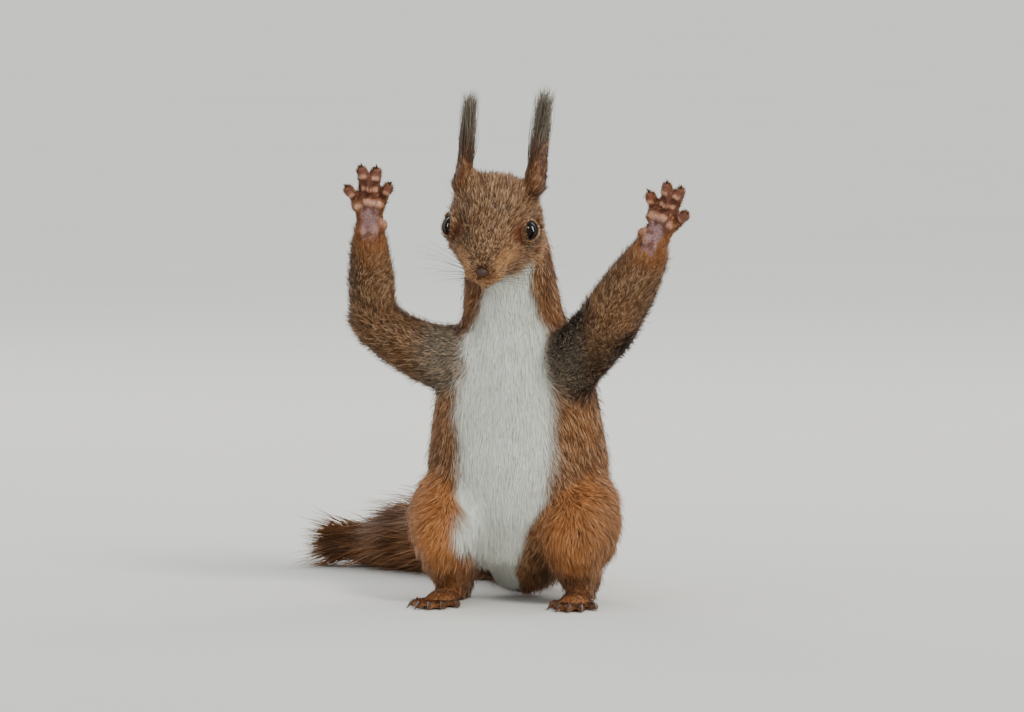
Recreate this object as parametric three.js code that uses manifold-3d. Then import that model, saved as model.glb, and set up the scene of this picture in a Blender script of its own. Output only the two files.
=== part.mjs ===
// A life-size still model of a Eurasian red squirrel (Sciurus vulgaris), bolt upright on its hind feet
// with both arms thrown up, palms forward, the tail laid along the ground behind it.
//
// Millimetres, +Z up. The squirrel faces -Y, its own left side is +X, and the floor is z = 0.
// Every node is a closed solid out to the tips of the coat. Neighbours meet with a thin gap.

import * as THREE from "three";
import { mergeVertices } from "three/addons/utils/BufferGeometryUtils.js";
import Module from "manifold-3d";

const wasm = await Module();
wasm.setup();

// ---------------------------------------------------------------- driving dimensions

const GAP = 0.3; // clear space between neighbouring pieces
const FLOOR_BITE = 0.8; // how far a sole or the tail is modelled below the floor before the flat is cut

const EYE_R = 4.7; // eyeball
const EYE_SPREAD = 14.3; // eye centre from the middle of the head
const HEAD_AT = [-5.9, -16, 151]; // the point midway between the eyes
const HEAD_PITCH = 38; // degrees, nose down
const HEAD_ROLL = 3; // degrees, left side low
const HEAD_YAW = 0; // degrees, the body's own way

const EYE_DROP = 0.9; // eye centre below the head's origin
const EAR_OUT = { right: 15.2, left: 17.5 }; // foot of each ear from the middle of the head
const EAR_BACK = 12.5; // and behind its origin
const EAR_UP = 7.5; // and above it
const EAR_LEAN = 30; // degrees the ear lies back from the head's own up
const EAR_SWAY = { right: 0.11, left: 0.06 }; // both ears swing a little to its left
const EAR_LENGTH = 21;
const TUFT_LENGTH = 17.4;
const TUFT_R = 3.3;

// The left arm is seen more from its side, so its coat is broader.
const HUMERUS_R = { right: 11.5, left: 12.2 };
const ELBOW_R = { right: 9.3, left: 12.0 };
const FOREARM_R = { right: 9.3, left: 11.3 };
const WRIST_R = { right: 7.3, left: 8.0 };

const FINGER_R = 2.3;
const TOE_R = 2.0;
const CLAW_R = 0.8;

const NECK_BASE = 111; // height at which the neck gives way to the trunk

// Joint places, right then left where the two sides differ.
const SHOULDER = { right: [-20, 1, 95], left: [20, 1, 95] };
const ELBOW = { right: [-53.4, -14, 111.8], left: [41.8, -24, 112.7] };
const WRIST = { right: [-55, -16, 146.5], left: [60, -22, 142.7] };
const HAND_TIP = { right: [-53.7, -20, 175.5], left: [70.2, -27, 168.6] };
const HIP = [17.5, 24, 35];
const KNEE = [24, -17, 29.5];
const HEEL = [24, 15, 0];
const BALL = [26, -18, 0];
const LEG_SPREAD = { right: 0, left: 2.5 }; // how much further out one leg is set

// ---------------------------------------------------------------- shape tools

const vec = (p) => new THREE.Vector3(...p);
const radians = THREE.MathUtils.degToRad;

// A closed body lofted along a smooth spine. Each row of sizes is [half-width along side, half-depth,
// egg, cup]: a negative egg narrows the far side, and a cup hollows the section into a shell.
// domes rounds the two ends, as a share of the end's smaller half-size, and caps says in how many steps.
// grow fattens it all round.
function organ(shape, grow = 0) {
  const { spine, sizes, side = [1, 0, 0], rings = 8, sides = 12, domes = [1, 1], caps = [2, 2] } = shape;
  const path = new THREE.CatmullRomCurve3(spine.map(vec), false, "catmullrom");
  const spans = new THREE.CatmullRomCurve3(
    sizes.map(([wide, deep]) => new THREE.Vector3(wide, deep, 0)),
    false,
    "catmullrom",
  );
  const forms = new THREE.CatmullRomCurve3(
    sizes.map(([, , egg = 0, cup = 0]) => new THREE.Vector3(egg, cup, 0)),
    false,
    "catmullrom",
  );
  const stations = [];
  const station = (t, along, scale) => {
    const tangent = path.getTangent(t);
    const u = vec(side).addScaledVector(tangent, -tangent.dot(vec(side))).normalize();
    const v = tangent.clone().cross(u);
    const span = spans.getPoint(t);
    const form = forms.getPoint(t);
    const centre = path.getPoint(t).addScaledVector(tangent, along);
    const wide = (span.x + grow) * scale;
    const deep = (span.y + grow) * scale;
    stations.push({ centre, u, v, wide, deep, form, scale });
  };
  const domeLength = (t, share) => {
    const span = spans.getPoint(t);
    return (Math.min(span.x, span.y) + grow) * share;
  };
  const first = domeLength(0, domes[0]);
  const last = domeLength(1, domes[1]);
  for (let k = caps[0] - 1; k > 0; k--) {
    const angle = (k / caps[0]) * (Math.PI / 2);
    station(0, -first * Math.sin(angle), Math.cos(angle));
  }
  for (let k = 0; k <= rings; k++) station(k / rings, 0, 1);
  for (let k = 1; k < caps[1]; k++) {
    const angle = (k / caps[1]) * (Math.PI / 2);
    station(1, last * Math.sin(angle), Math.cos(angle));
  }

  const places = [];
  for (const { centre, u, v, wide, deep, form, scale } of stations)
    for (let j = 0; j < sides; j++) {
      const angle = (j / sides) * Math.PI * 2;
      const across = wide * Math.cos(angle) * (1 + form.x * Math.sin(angle));
      const up = deep * Math.sin(angle) - form.y * scale * Math.sin(angle) ** 2;
      places.push(centre.clone().addScaledVector(u, across).addScaledVector(v, up));
    }
  const startPole = places.push(path.getPoint(0).addScaledVector(path.getTangent(0), -first)) - 1;
  const endPole = places.push(path.getPoint(1).addScaledVector(path.getTangent(1), last)) - 1;
  const faces = [];
  const at = (ring, j) => ring * sides + (j % sides);
  const top = stations.length - 1;
  for (let j = 0; j < sides; j++) {
    faces.push(startPole, at(0, j + 1), at(0, j));
    faces.push(endPole, at(top, j), at(top, j + 1));
    for (let ring = 0; ring < top; ring++) {
      faces.push(at(ring, j), at(ring, j + 1), at(ring + 1, j + 1));
      faces.push(at(ring, j), at(ring + 1, j + 1), at(ring + 1, j));
    }
  }
  return new THREE.BufferGeometry().setFromPoints(places).setIndex(faces);
}

// An ellipsoid of half-sizes radii about a point.
function ball(centre, radii, grow = 0, sides = 16) {
  return new THREE.SphereGeometry(1, sides, Math.round(sides * 0.7))
    .rotateX(Math.PI / 2)
    .scale(...radii.map((r) => r + grow))
    .translate(...centre);
}

// Any closed geometry as a solid.
function solid(geometry) {
  const bare = geometry.index ? geometry.toNonIndexed() : geometry.clone();
  bare.deleteAttribute("normal");
  bare.deleteAttribute("uv");
  const merged = mergeVertices(bare, 1e-4);
  return new wasm.Manifold(
    new wasm.Mesh({
      numProp: 3,
      vertProperties: merged.attributes.position.array,
      triVerts: new Uint32Array(merged.index.array),
    }),
  );
}

const joined = (geometries) => geometries.map(solid).reduce((a, b) => a.add(b));
const without = (whole, ...others) => others.reduce((a, b) => a.subtract(b), whole);

// The largest body of a cut, which drops crumbs left where two curved faces nearly touch.
function largest(cut) {
  return cut.decompose().reduce((a, b) => (b.volume() > a.volume() ? b : a));
}

const below = solid(new THREE.BoxGeometry(600, 600, 60).translate(0, 0, -30));
const onFloor = (body) => body.subtract(below);

// ---------------------------------------------------------------- head

// The head is drawn in its own frame: x to its left, y to the back of the skull, z to its crown, and the
// origin midway between the eyes.
const headPose = new THREE.Matrix4()
  .makeRotationFromEuler(
    new THREE.Euler(radians(HEAD_PITCH), radians(HEAD_ROLL), radians(HEAD_YAW), "ZYX"),
  )
  .setPosition(...HEAD_AT);
const inHead = (geometry) => geometry.applyMatrix4(headPose);

// Rows from the back of the skull to the nose: [y, top, bottom, half-width, egg].
const SKULL_ROWS = [
  [24.5, 4.5, -13, 12.5, 0],
  [19.5, 10.5, -18.5, 16.8, -0.06],
  [12.5, 14.4, -21.5, 19.0, -0.09],
  [5.5, 15.0, -22.5, 18.8, -0.18],
  [-1, 13.0, -21.6, 16.6, -0.2],
  [-7, 9.8, -20.2, 13.9, -0.18],
  [-12, 6.6, -18.6, 11.4, -0.12],
  [-16.3, 3.6, -17.0, 9.1, -0.04],
  [-19.8, 0.8, -14.6, 7.3, 0],
  [-22.2, -2.4, -11.4, 4.8, 0],
];

const skull = (grow) =>
  organ(
    {
      spine: SKULL_ROWS.map(([y, top, bottom]) => [0, y, (top + bottom) / 2]),
      sizes: SKULL_ROWS.map(([, top, bottom, wide, egg]) => [wide, (top - bottom) / 2, egg]),
      rings: 9,
      sides: 15,
      domes: [0.35, 0.35],
    },
    grow,
  );

const cheek = (hand, grow) => ball([hand * 11.8, 7.5, -10.5], [8.4, 11.5, 9.6], grow, 7);
const whiskerPad = (hand, grow) => ball([hand * 4.5, -17.6, -8.6], [4.7, 5.2, 4.7], grow, 8);
const chin = (grow) => ball([0, -15.2, -15.2], [4.2, 5.4, 3.4], grow, 7);
const noseTip = (grow) => ball([0, -22.5, -4.9], [2.5, 1.6, 1.8], grow, 8);
const eyeball = (hand, grow) => ball([hand * EYE_SPREAD, 0, -EYE_DROP], [EYE_R, EYE_R, EYE_R], grow, 11);

const headBody = (grow) =>
  joined(
    [
      skull(grow),
      cheek(1, grow),
      cheek(-1, grow),
      whiskerPad(1, grow),
      whiskerPad(-1, grow),
      chin(grow),
    ].map(inHead),
  );
const eye = (hand, grow = 0) => solid(inHead(eyeball(hand, grow)));
const nose = (grow = 0) => solid(inHead(noseTip(grow)));

// ---------------------------------------------------------------- ears

const alongEar = (hand, distance) => {
  const name = hand > 0 ? "left" : "right";
  const axis = [EAR_SWAY[name], Math.sin(radians(EAR_LEAN)), Math.cos(radians(EAR_LEAN))];
  return [hand * EAR_OUT[name], EAR_BACK, EAR_UP].map((foot, i) => foot + axis[i] * distance);
};

// A cupped leaf whose hollow looks out to the side and a little forward.
function earShell(hand, grow) {
  const shape = [
    [0, 5.7, 3.7, 2.5],
    [0.3, 7.2, 3.1, 3.0],
    [0.6, 6.6, 2.2, 2.2],
    [0.85, 4.9, 2.0, 1.0],
    [1, 3.2, 1.9, 0.3],
  ];
  return organ(
    {
      spine: shape.map(([t]) => alongEar(hand, t * EAR_LENGTH)),
      sizes: shape.map(([, wide, thick, cup]) => [wide, thick, 0, cup]),
      side: [-0.2, -hand, 0],
      rings: 5,
      sides: 10,
      domes: [0.3, 0.9],
      caps: [1, 2],
    },
    grow,
  );
}

function earTuft(hand) {
  const start = EAR_LENGTH * 0.9;
  return organ({
    spine: [0, 0.35, 0.7, 1].map((t) => alongEar(hand, start + t * TUFT_LENGTH)),
    sizes: [
      [TUFT_R, TUFT_R * 0.85],
      [TUFT_R, TUFT_R * 0.85],
      [TUFT_R, TUFT_R],
      [TUFT_R * 0.7, TUFT_R * 0.7],
    ],
    rings: 4,
    sides: 6,
    caps: [1, 2],
  });
}

// ---------------------------------------------------------------- neck, trunk and tail

const neckBody = (grow) =>
  organ(
    {
      spine: [
        [-3.4, 1, 151],
        [-2, 5, 131],
        [-0.5, 7, 109],
      ],
      sizes: [
        [16.5, 15.5],
        [18.5, 18],
        [21.5, 18],
      ],
      rings: 3,
      sides: 12,
      domes: [0.9, 0.5],
      caps: [1, 1],
    },
    grow,
  );

// Rows down the back: [y, z, half-width, half-depth].
const TRUNK_ROWS = [
  [7, 118, 17, 15.5],
  [7.5, 106, 25.8, 21],
  [9.5, 89, 31.6, 25],
  [12, 70, 34.8, 28],
  [15, 52, 37, 30.5],
  [19, 33, 34, 30],
  [26, 17, 20, 20],
];
const trunkBody = (grow) =>
  organ(
    {
      spine: TRUNK_ROWS.map(([y, z]) => [0, y, z]),
      sizes: TRUNK_ROWS.map(([, , wide, deep]) => [wide, deep]),
      rings: 8,
      sides: 16,
      domes: [0.8, 0.7],
    },
    grow,
  );

// Rows from the root to the tip of the tail: [x, y, z, half-width, half-depth].
const TAIL_ROWS = [
  [0, 36, 21, 7, 7],
  [-2, 54, 14, 12, 11.5],
  [-8, 77, 13, 17.5, 13.8],
  [-22, 101, 13, 20.5, 13.8],
  [-44, 121, 12.6, 20.5, 13.4],
  [-70, 134, 11.4, 17.5, 12.2],
  [-93, 137, 8.4, 9, 9.2],
];
const tailBody = (grow) =>
  organ(
    {
      spine: TAIL_ROWS.map(([x, y, z]) => [x, y, z]),
      sizes: TAIL_ROWS.map(([, , , wide, deep]) => [wide, deep]),
      side: [1, 0.35, 0],
      rings: 11,
      sides: 11,
      domes: [1, 1.7],
    },
    grow,
  );

// A thin wall square to a direction, which parts whatever it passes through.
function wall(centre, direction, span) {
  const turn = new THREE.Quaternion().setFromUnitVectors(new THREE.Vector3(0, 0, 1), direction);
  return new THREE.BoxGeometry(span, span, GAP).applyQuaternion(turn).translate(...centre);
}

// The wall across the tail at a share of its length.
function tailCut(share) {
  const path = new THREE.CatmullRomCurve3(TAIL_ROWS.map((row) => vec(row.slice(0, 3))), false, "catmullrom");
  return wall(path.getPoint(share).toArray(), path.getTangent(share), 70);
}
const neckCut = () => wall([0, 7, NECK_BASE], new THREE.Vector3(0, -0.12, 1).normalize(), 120);

// ---------------------------------------------------------------- arms and hands

const between = (a, b, t) => a.map((x, i) => x + (b[i] - x) * t);
const shifted = (p, by) => p.map((x, i) => x + by[i]);

const upperArm = (name, grow) =>
  organ(
    {
      spine: [SHOULDER[name], shifted(between(SHOULDER[name], ELBOW[name], 0.5), [0, 0, -2]), ELBOW[name]],
      sizes: [
        [13.5, 14],
        [HUMERUS_R[name], HUMERUS_R[name] + 0.5],
        [ELBOW_R[name], ELBOW_R[name]],
      ],
      side: [0, 1, 0],
      rings: 4,
      sides: 10,
      domes: [1, 0.8],
      caps: [1, 2],
    },
    grow,
  );

const forearm = (name, grow) =>
  organ(
    {
      spine: [ELBOW[name], between(ELBOW[name], WRIST[name], 0.5), WRIST[name]],
      sizes: [
        [ELBOW_R[name], ELBOW_R[name]],
        [FOREARM_R[name], FOREARM_R[name] - 0.3],
        [WRIST_R[name], WRIST_R[name] - 0.6],
      ],
      rings: 4,
      sides: 10,
      domes: [0.8, 0.5],
      caps: [1, 2],
    },
    grow,
  );

// Each hand or foot is drawn with x towards the thumb or big toe, y towards the palm or sole and z along
// the fingers, then set on its limb. A digit row: [base x, base z, tip x, tip z, tip y].
const FINGER_ROWS = [
  [4.3, 13.4, 7.6, 20.6, 3.4],
  [2.0, 15.0, 2.8, 26.6, 3.0],
  [-2.1, 15.2, -2.9, 27.0, 3.0],
  [-4.6, 12.4, -8.0, 19.0, 3.6],
];
const TOE_ROWS = [
  [5.0, 30, 8.2, 39.5, 0],
  [3.2, 34, 4.8, 48, 0],
  [0.3, 35, 0.5, 51, 0],
  [-2.8, 34, -4.4, 49.5, 0],
  [-5.2, 31, -8.6, 42, 0],
];

function digit([baseX, baseZ, tipX, tipZ, tipY], radius, arch, rings, sides, grow) {
  const at = (t, y) => [baseX + (tipX - baseX) * t, y, baseZ + (tipZ - baseZ) * t];
  return organ(
    {
      spine: [at(-0.25, 0), at(0.15, -arch), at(0.55, -arch), at(1, tipY - arch)],
      sizes: [
        [radius, radius],
        [radius, radius],
        [radius * 0.86, radius * 0.88],
        [radius * 1.1, radius * 1.15],
      ],
      rings,
      sides,
      domes: [0.6, 0.9],
      caps: [1, 2],
    },
    grow,
  );
}

// A claw grows from the end of its digit and hooks over towards the palm side.
const CLAW_ROOT = 0.9; // how far its root lies towards the back of the digit
function claw([baseX, baseZ, tipX, tipZ, tipY], arch, reach, drop, grow = 0) {
  const out = new THREE.Vector3(tipX - baseX, 0, tipZ - baseZ).normalize();
  const at = (share, y) => [tipX + out.x * reach * share, tipY - arch + y, tipZ + out.z * reach * share];
  return organ(
    {
      spine: [at(0.12, -CLAW_ROOT), at(0.44, -CLAW_ROOT), at(0.76, drop * 0.3 - 0.4), at(1, drop)],
      sizes: [
        [CLAW_R, CLAW_R],
        [CLAW_R * 0.85, CLAW_R],
        [CLAW_R * 0.55, CLAW_R * 0.65],
        [CLAW_R * 0.34, CLAW_R * 0.34],
      ],
      rings: 2,
      sides: 4,
      domes: [0.5, 0.8],
      caps: [1, 1],
    },
    grow,
  );
}

const FINGER_ARCH = 0.6;
const FINGER_CLAW = { reach: 3.9, drop: 3.2 };
const TOE_CLAW = { reach: 5, drop: 1.2 };
const palmPieces = (grow) => [
  organ(
    {
      spine: [
        [0, 0, -4],
        [0, -0.4, 4],
        [0, -0.4, 10.5],
        [0, 0, 14.8],
      ],
      sizes: [
        [5.3, 5],
        [5.0, 4.1],
        [5.5, 3.4],
        [5.5, 3.0],
      ],
      rings: 3,
      sides: 8,
      domes: [0.6, 0.8],
      caps: [1, 1],
    },
    grow,
  ),
  ...FINGER_ROWS.map((row) => digit(row, FINGER_R, FINGER_ARCH, 3, 6, grow)),
  ball([5.9, 1.8, 5.4], [2.1, 2.0, 2.8], grow, 6), // thumb stub
  ball([2.6, 3.1, 3.4], [2.4, 1.9, 3.2], grow, 6), // heel pads
  ball([-2.9, 3.1, 2.8], [2.3, 1.9, 3.4], grow, 6),
  ...[4.2, 0, -4.4].map((x) => ball([x, 2.5, 14.2 - Math.abs(x) * 0.35], [2.5, 1.9, 2.3], grow, 6)),
];

// The matrix that carries the hand's own frame to its arm, palm turned towards facing.
function setOn(origin, tip, facing, thumb) {
  const along = vec(tip).sub(vec(origin)).normalize();
  const palm = vec(facing).addScaledVector(along, -along.dot(vec(facing))).normalize();
  const across = palm.clone().cross(along).multiplyScalar(thumb);
  return new THREE.Matrix4().makeBasis(across, palm, along).setPosition(vec(origin));
}

// A mirrored limb turns its faces inside out, so they are turned back.
function placed(geometry, matrix) {
  geometry.applyMatrix4(matrix);
  if (matrix.determinant() < 0) {
    const order = geometry.index.array;
    for (let i = 0; i < order.length; i += 3) [order[i], order[i + 1]] = [order[i + 1], order[i]];
  }
  return geometry;
}

const handPose = {
  right: setOn(WRIST.right, HAND_TIP.right, [0.1, -1, 0], -1),
  left: setOn(WRIST.left, HAND_TIP.left, [-0.1, -1, 0], 1),
};

// ---------------------------------------------------------------- legs and feet

const sided = ([x, y, z], name) => [name === "left" ? x + LEG_SPREAD.left : -x - LEG_SPREAD.right, y, z];

const thigh = (name, grow) =>
  organ(
    {
      spine: [HIP, [26.5, 4, 33.5], KNEE].map((p) => sided(p, name)),
      sizes: [
        [12, 23],
        [14.8, 22.5],
        [11.8, 13.4],
      ],
      rings: 5,
      sides: 12,
      domes: [1, 0.9],
      caps: [1, 2],
    },
    grow,
  );

const shank = (name, grow) =>
  organ(
    {
      spine: [shifted(KNEE, [0, 1, -4]), [24.5, -4, 15], shifted(HEEL, [0, -2, 7])].map((p) =>
        sided(p, name),
      ),
      sizes: [
        [9.6, 9.6],
        [10, 9.2],
        [6.6, 6.4],
      ],
      rings: 4,
      sides: 10,
      domes: [0.6, 1],
      caps: [1, 2],
    },
    grow,
  );

// Rows from the heel to the ball of the foot: [share of the way, half-width, half-height].
const SOLE_ROWS = [
  [0, 4.6, 5.2],
  [0.35, 4.8, 4.4],
  [0.7, 6.0, 3.8],
  [1, 6.8, 3.2],
];
const TOE_ARCH = TOE_R - FLOOR_BITE * 0.7; // toes bite a little into the floor before the flat is cut
const solePieces = (grow) => {
  const length = Math.hypot(BALL[0] - HEEL[0], BALL[1] - HEEL[1]);
  return [
    organ(
      {
        spine: SOLE_ROWS.map(([t, , high]) => [0, FLOOR_BITE - high, t * length]),
        sizes: SOLE_ROWS.map(([, wide, high]) => [wide, high]),
        rings: 3,
        sides: 8,
        domes: [1, 0.6],
        caps: [2, 1],
      },
      grow,
    ),
    ...TOE_ROWS.map((row) => digit(row, TOE_R, TOE_ARCH, 2, 5, grow)),
  ];
};

function footPose(name) {
  const heel = sided(HEEL, name);
  const ballOfFoot = sided(BALL, name);
  return setOn(heel, ballOfFoot, [0, 0, -1], name === "left" ? 1 : -1);
}

// ---------------------------------------------------------------- the parted body

const SIDES = ["right", "left"];
const bodies = {};
const set = (name, body) => (bodies[name] = body);

// A digit's claw and the socket cut for it share one builder.
function limbEnd(name, part, pieces, rows, pose, arch, { reach, drop }) {
  const claws = rows.map((row) => (grow) => solid(placed(claw(row, arch, reach, drop, grow), pose)));
  claws.forEach((make, i) => set(`claw_${part}_${name}_${i + (rows.length === 5 ? 1 : 2)}`, make(0)));
  const flesh = joined(pieces.map((piece) => placed(piece, pose)));
  return without(flesh, ...claws.map((make) => make(GAP)));
}

const torsoGrown = joined([trunkBody(GAP), neckBody(GAP)]);
const headGrown = headBody(GAP);

for (const name of SIDES) {
  const hand = name === "left" ? 1 : -1;
  const armGrown = solid(upperArm(name, GAP));
  const foreGrown = solid(forearm(name, GAP));
  set(`upper_arm_${name}`, largest(without(solid(upperArm(name, 0)), torsoGrown)));
  set(`forearm_${name}`, largest(without(solid(forearm(name, 0)), armGrown)));
  const palm = limbEnd(name, "hand", palmPieces(0), FINGER_ROWS, handPose[name], FINGER_ARCH, FINGER_CLAW);
  set(`hand_${name}`, largest(without(palm, foreGrown)));

  const thighGrown = solid(thigh(name, GAP));
  const shankGrown = solid(shank(name, GAP));
  set(`thigh_${name}`, solid(thigh(name, 0)));
  set(`shank_${name}`, largest(without(solid(shank(name, 0)), thighGrown, torsoGrown)));
  const pose = footPose(name);
  const foot = limbEnd(name, "foot", solePieces(0), TOE_ROWS, pose, TOE_ARCH, TOE_CLAW);
  set(`foot_${name}`, largest(onFloor(without(foot, shankGrown, thighGrown, torsoGrown))));

  const shell = solid(inHead(earShell(hand, 0)));
  set(`ear_${name}`, largest(without(shell, headGrown)));
  const tuft = solid(inHead(earTuft(hand)));
  set(`ear_tuft_${name}`, largest(without(tuft, solid(inHead(earShell(hand, GAP))))));
  set(`eye_${name}`, eye(hand));
}

set("nose", nose());
set("head", largest(without(headBody(0), eye(1, GAP), eye(-1, GAP), nose(GAP))));
const thighsGrown = SIDES.map((name) => solid(thigh(name, GAP)));
const torsoBody = joined([trunkBody(0), neckBody(0)]);
const torso = without(torsoBody, headGrown, solid(neckCut()), ...thighsGrown).decompose();
const height = (body) => body.boundingBox().max[2];
torso.sort((a, b) => b.volume() - a.volume());
const [trunk, neck] = torso.slice(0, 2).sort((a, b) => height(a) - height(b));
set("neck", neck);
set("trunk", trunk);

const TAIL_CUTS = [0.42, 0.7]; // shares of the tail's length at which it is parted
const tail = onFloor(without(solid(tailBody(0)), torsoGrown, ...thighsGrown));
const lengths = without(largest(tail), ...TAIL_CUTS.map((share) => solid(tailCut(share)))).decompose();
const distance = (body) => {
  const { min, max } = body.boundingBox();
  return (min[0] + max[0]) / 2 - (min[1] + max[1]) / 2;
};
lengths.sort((a, b) => distance(b) - distance(a));
["tail_base", "tail_middle", "tail_tip"].forEach((name, i) => set(name, lengths[i]));

// ---------------------------------------------------------------- finishes and the scene graph

const finish = (color, roughness) => new THREE.MeshStandardMaterial({ color, roughness, metalness: 0 });
const FINISHES = [
  [/^claw/, finish(0x3a2c24, 0.4)],
  [/^eye/, finish(0x0d0908, 0.05)],
  [/^nose/, finish(0x8a5f52, 0.5)],
  [/^hand|^foot/, finish(0xb5795f, 0.7)],
  [/^ear_tuft/, finish(0x4b443e, 0.9)],
  [/^tail/, finish(0x8a5532, 0.9)],
  [/./, finish(0x9a5f38, 0.9)],
];

const squirrel = new THREE.Group();
const figure = new THREE.Group();
squirrel.add(figure);
for (const [name, body] of Object.entries(bodies)) {
  const { vertProperties, triVerts, numProp } = body.getMesh();
  const geometry = new THREE.BufferGeometry()
    .setAttribute("position", new THREE.BufferAttribute(new Float32Array(vertProperties), numProp))
    .setIndex(new THREE.BufferAttribute(new Uint32Array(triVerts), 1));
  geometry.computeVertexNormals();
  const mesh = new THREE.Mesh(geometry, FINISHES.find(([pattern]) => pattern.test(name))[1]);
  mesh.name = name;
  figure.add(mesh);
}

// The frame's origin is the middle of the whole model's footprint, on the floor.
const bounds = new THREE.Box3().setFromObject(figure);
const centre = bounds.getCenter(new THREE.Vector3());
figure.position.set(-centre.x, -centre.y, -bounds.min.z);

export default squirrel;
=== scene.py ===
# %% [markdown]
# # A red squirrel with its arms raised
#
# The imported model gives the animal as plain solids: trunk, head, limbs, tail and claws, each out to the
# tips of the hair. This lesson dresses that frame. One living skin replaces all the flesh, a coat of
# short blades of hair grows from it, and eyes, nose, whiskers and claws are made as pieces of their own.
#
# The frame is loaded first, because every place below is read from it. Lengths are in metres, as in all
# of Blender, so a millimetre gets a name.

# %% The frame
import math

import bmesh
import bpy
import numpy as np
from mathutils.bvhtree import BVHTree
from mathutils.kdtree import KDTree
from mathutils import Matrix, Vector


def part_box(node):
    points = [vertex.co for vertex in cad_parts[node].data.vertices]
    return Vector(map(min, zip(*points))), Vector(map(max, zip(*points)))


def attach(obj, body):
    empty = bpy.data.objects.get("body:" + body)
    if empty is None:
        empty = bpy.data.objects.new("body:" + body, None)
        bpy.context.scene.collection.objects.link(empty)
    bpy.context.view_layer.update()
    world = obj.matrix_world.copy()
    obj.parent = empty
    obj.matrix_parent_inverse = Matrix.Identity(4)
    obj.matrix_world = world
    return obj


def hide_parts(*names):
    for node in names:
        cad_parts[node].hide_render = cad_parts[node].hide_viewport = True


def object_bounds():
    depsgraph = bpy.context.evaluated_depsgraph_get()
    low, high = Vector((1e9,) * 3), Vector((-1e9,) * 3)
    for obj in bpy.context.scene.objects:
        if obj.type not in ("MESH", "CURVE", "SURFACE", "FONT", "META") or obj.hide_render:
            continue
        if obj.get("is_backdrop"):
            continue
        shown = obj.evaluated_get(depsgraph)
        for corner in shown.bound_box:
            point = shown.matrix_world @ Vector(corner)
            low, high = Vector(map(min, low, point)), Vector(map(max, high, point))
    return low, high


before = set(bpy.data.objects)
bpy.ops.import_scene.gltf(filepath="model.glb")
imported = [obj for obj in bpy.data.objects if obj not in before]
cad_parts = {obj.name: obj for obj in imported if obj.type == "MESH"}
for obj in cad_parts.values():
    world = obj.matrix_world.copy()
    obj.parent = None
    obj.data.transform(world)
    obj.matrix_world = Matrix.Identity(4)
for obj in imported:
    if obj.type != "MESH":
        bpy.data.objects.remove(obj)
CAD_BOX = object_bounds()
MM = 0.001
BODY = "root"
SIDES = {"left": 1, "right": -1}
chance = np.random.default_rng(20)
print("frame:", len(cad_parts), "nodes, box", [[round(x / MM, 1) for x in corner] for corner in CAD_BOX])

# %% [markdown]
# ## The camera
#
# The animal is seen from the front and a little from its left, from just above the ground, through a
# long lens. The camera looks at a point between chest and chin. It comes early because the pieces are
# judged through it. First come a few helpers that read places off the frame.


# %% Places on the frame
def box(name):
    low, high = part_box(name)
    return np.array(low), np.array(high)


def middle(name):
    low, high = box(name)
    return (low + high) / 2


def unit(vectors):
    vectors = np.asarray(vectors, float)
    return vectors / np.maximum(np.linalg.norm(vectors, axis=-1, keepdims=True), 1e-12)


def across_to(direction, vectors):
    """The vectors with their part along a direction taken out."""
    along = (np.asarray(vectors) * direction).sum(-1, keepdims=True)
    return np.asarray(vectors) - along * direction


print("middle of the trunk", np.round(middle("trunk") / MM, 1))

# %% Camera
VIEW_AZIMUTH = math.radians(10)
VIEW_RISE = math.radians(4)
VIEW_DISTANCE = 3.0
VIEW_WIDTH = 0.4096
SENSOR = 36.0
AIM_OFFSET = np.array([1.9, 4.5, -5.0]) * MM

aim = (middle("trunk") + middle("head")) / 2 + AIM_OFFSET
towards = np.array([
    math.sin(VIEW_AZIMUTH) * math.cos(VIEW_RISE),
    -math.cos(VIEW_AZIMUTH) * math.cos(VIEW_RISE),
    math.sin(VIEW_RISE),
])
camera = bpy.data.objects.new("camera", bpy.data.cameras.new("camera"))
camera.data.sensor_width = SENSOR
camera.data.lens = SENSOR * VIEW_DISTANCE / VIEW_WIDTH
camera.location = aim + towards * VIEW_DISTANCE
camera.rotation_euler = (math.pi / 2 - VIEW_RISE, 0, VIEW_AZIMUTH)
bpy.context.collection.objects.link(camera)
bpy.context.scene.camera = camera
print("camera at", [round(x, 3) for x in camera.location], "lens", round(camera.data.lens, 1))

# %% [markdown]
# ## Shader sums
#
# A material is a network of small nodes. Wiring them one by one hides the idea, so this class wraps an
# output socket and lets it be used in a sum like a number: `1 - mask * 0.5` adds two Math nodes. Every
# other node comes from its `node` method.


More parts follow.
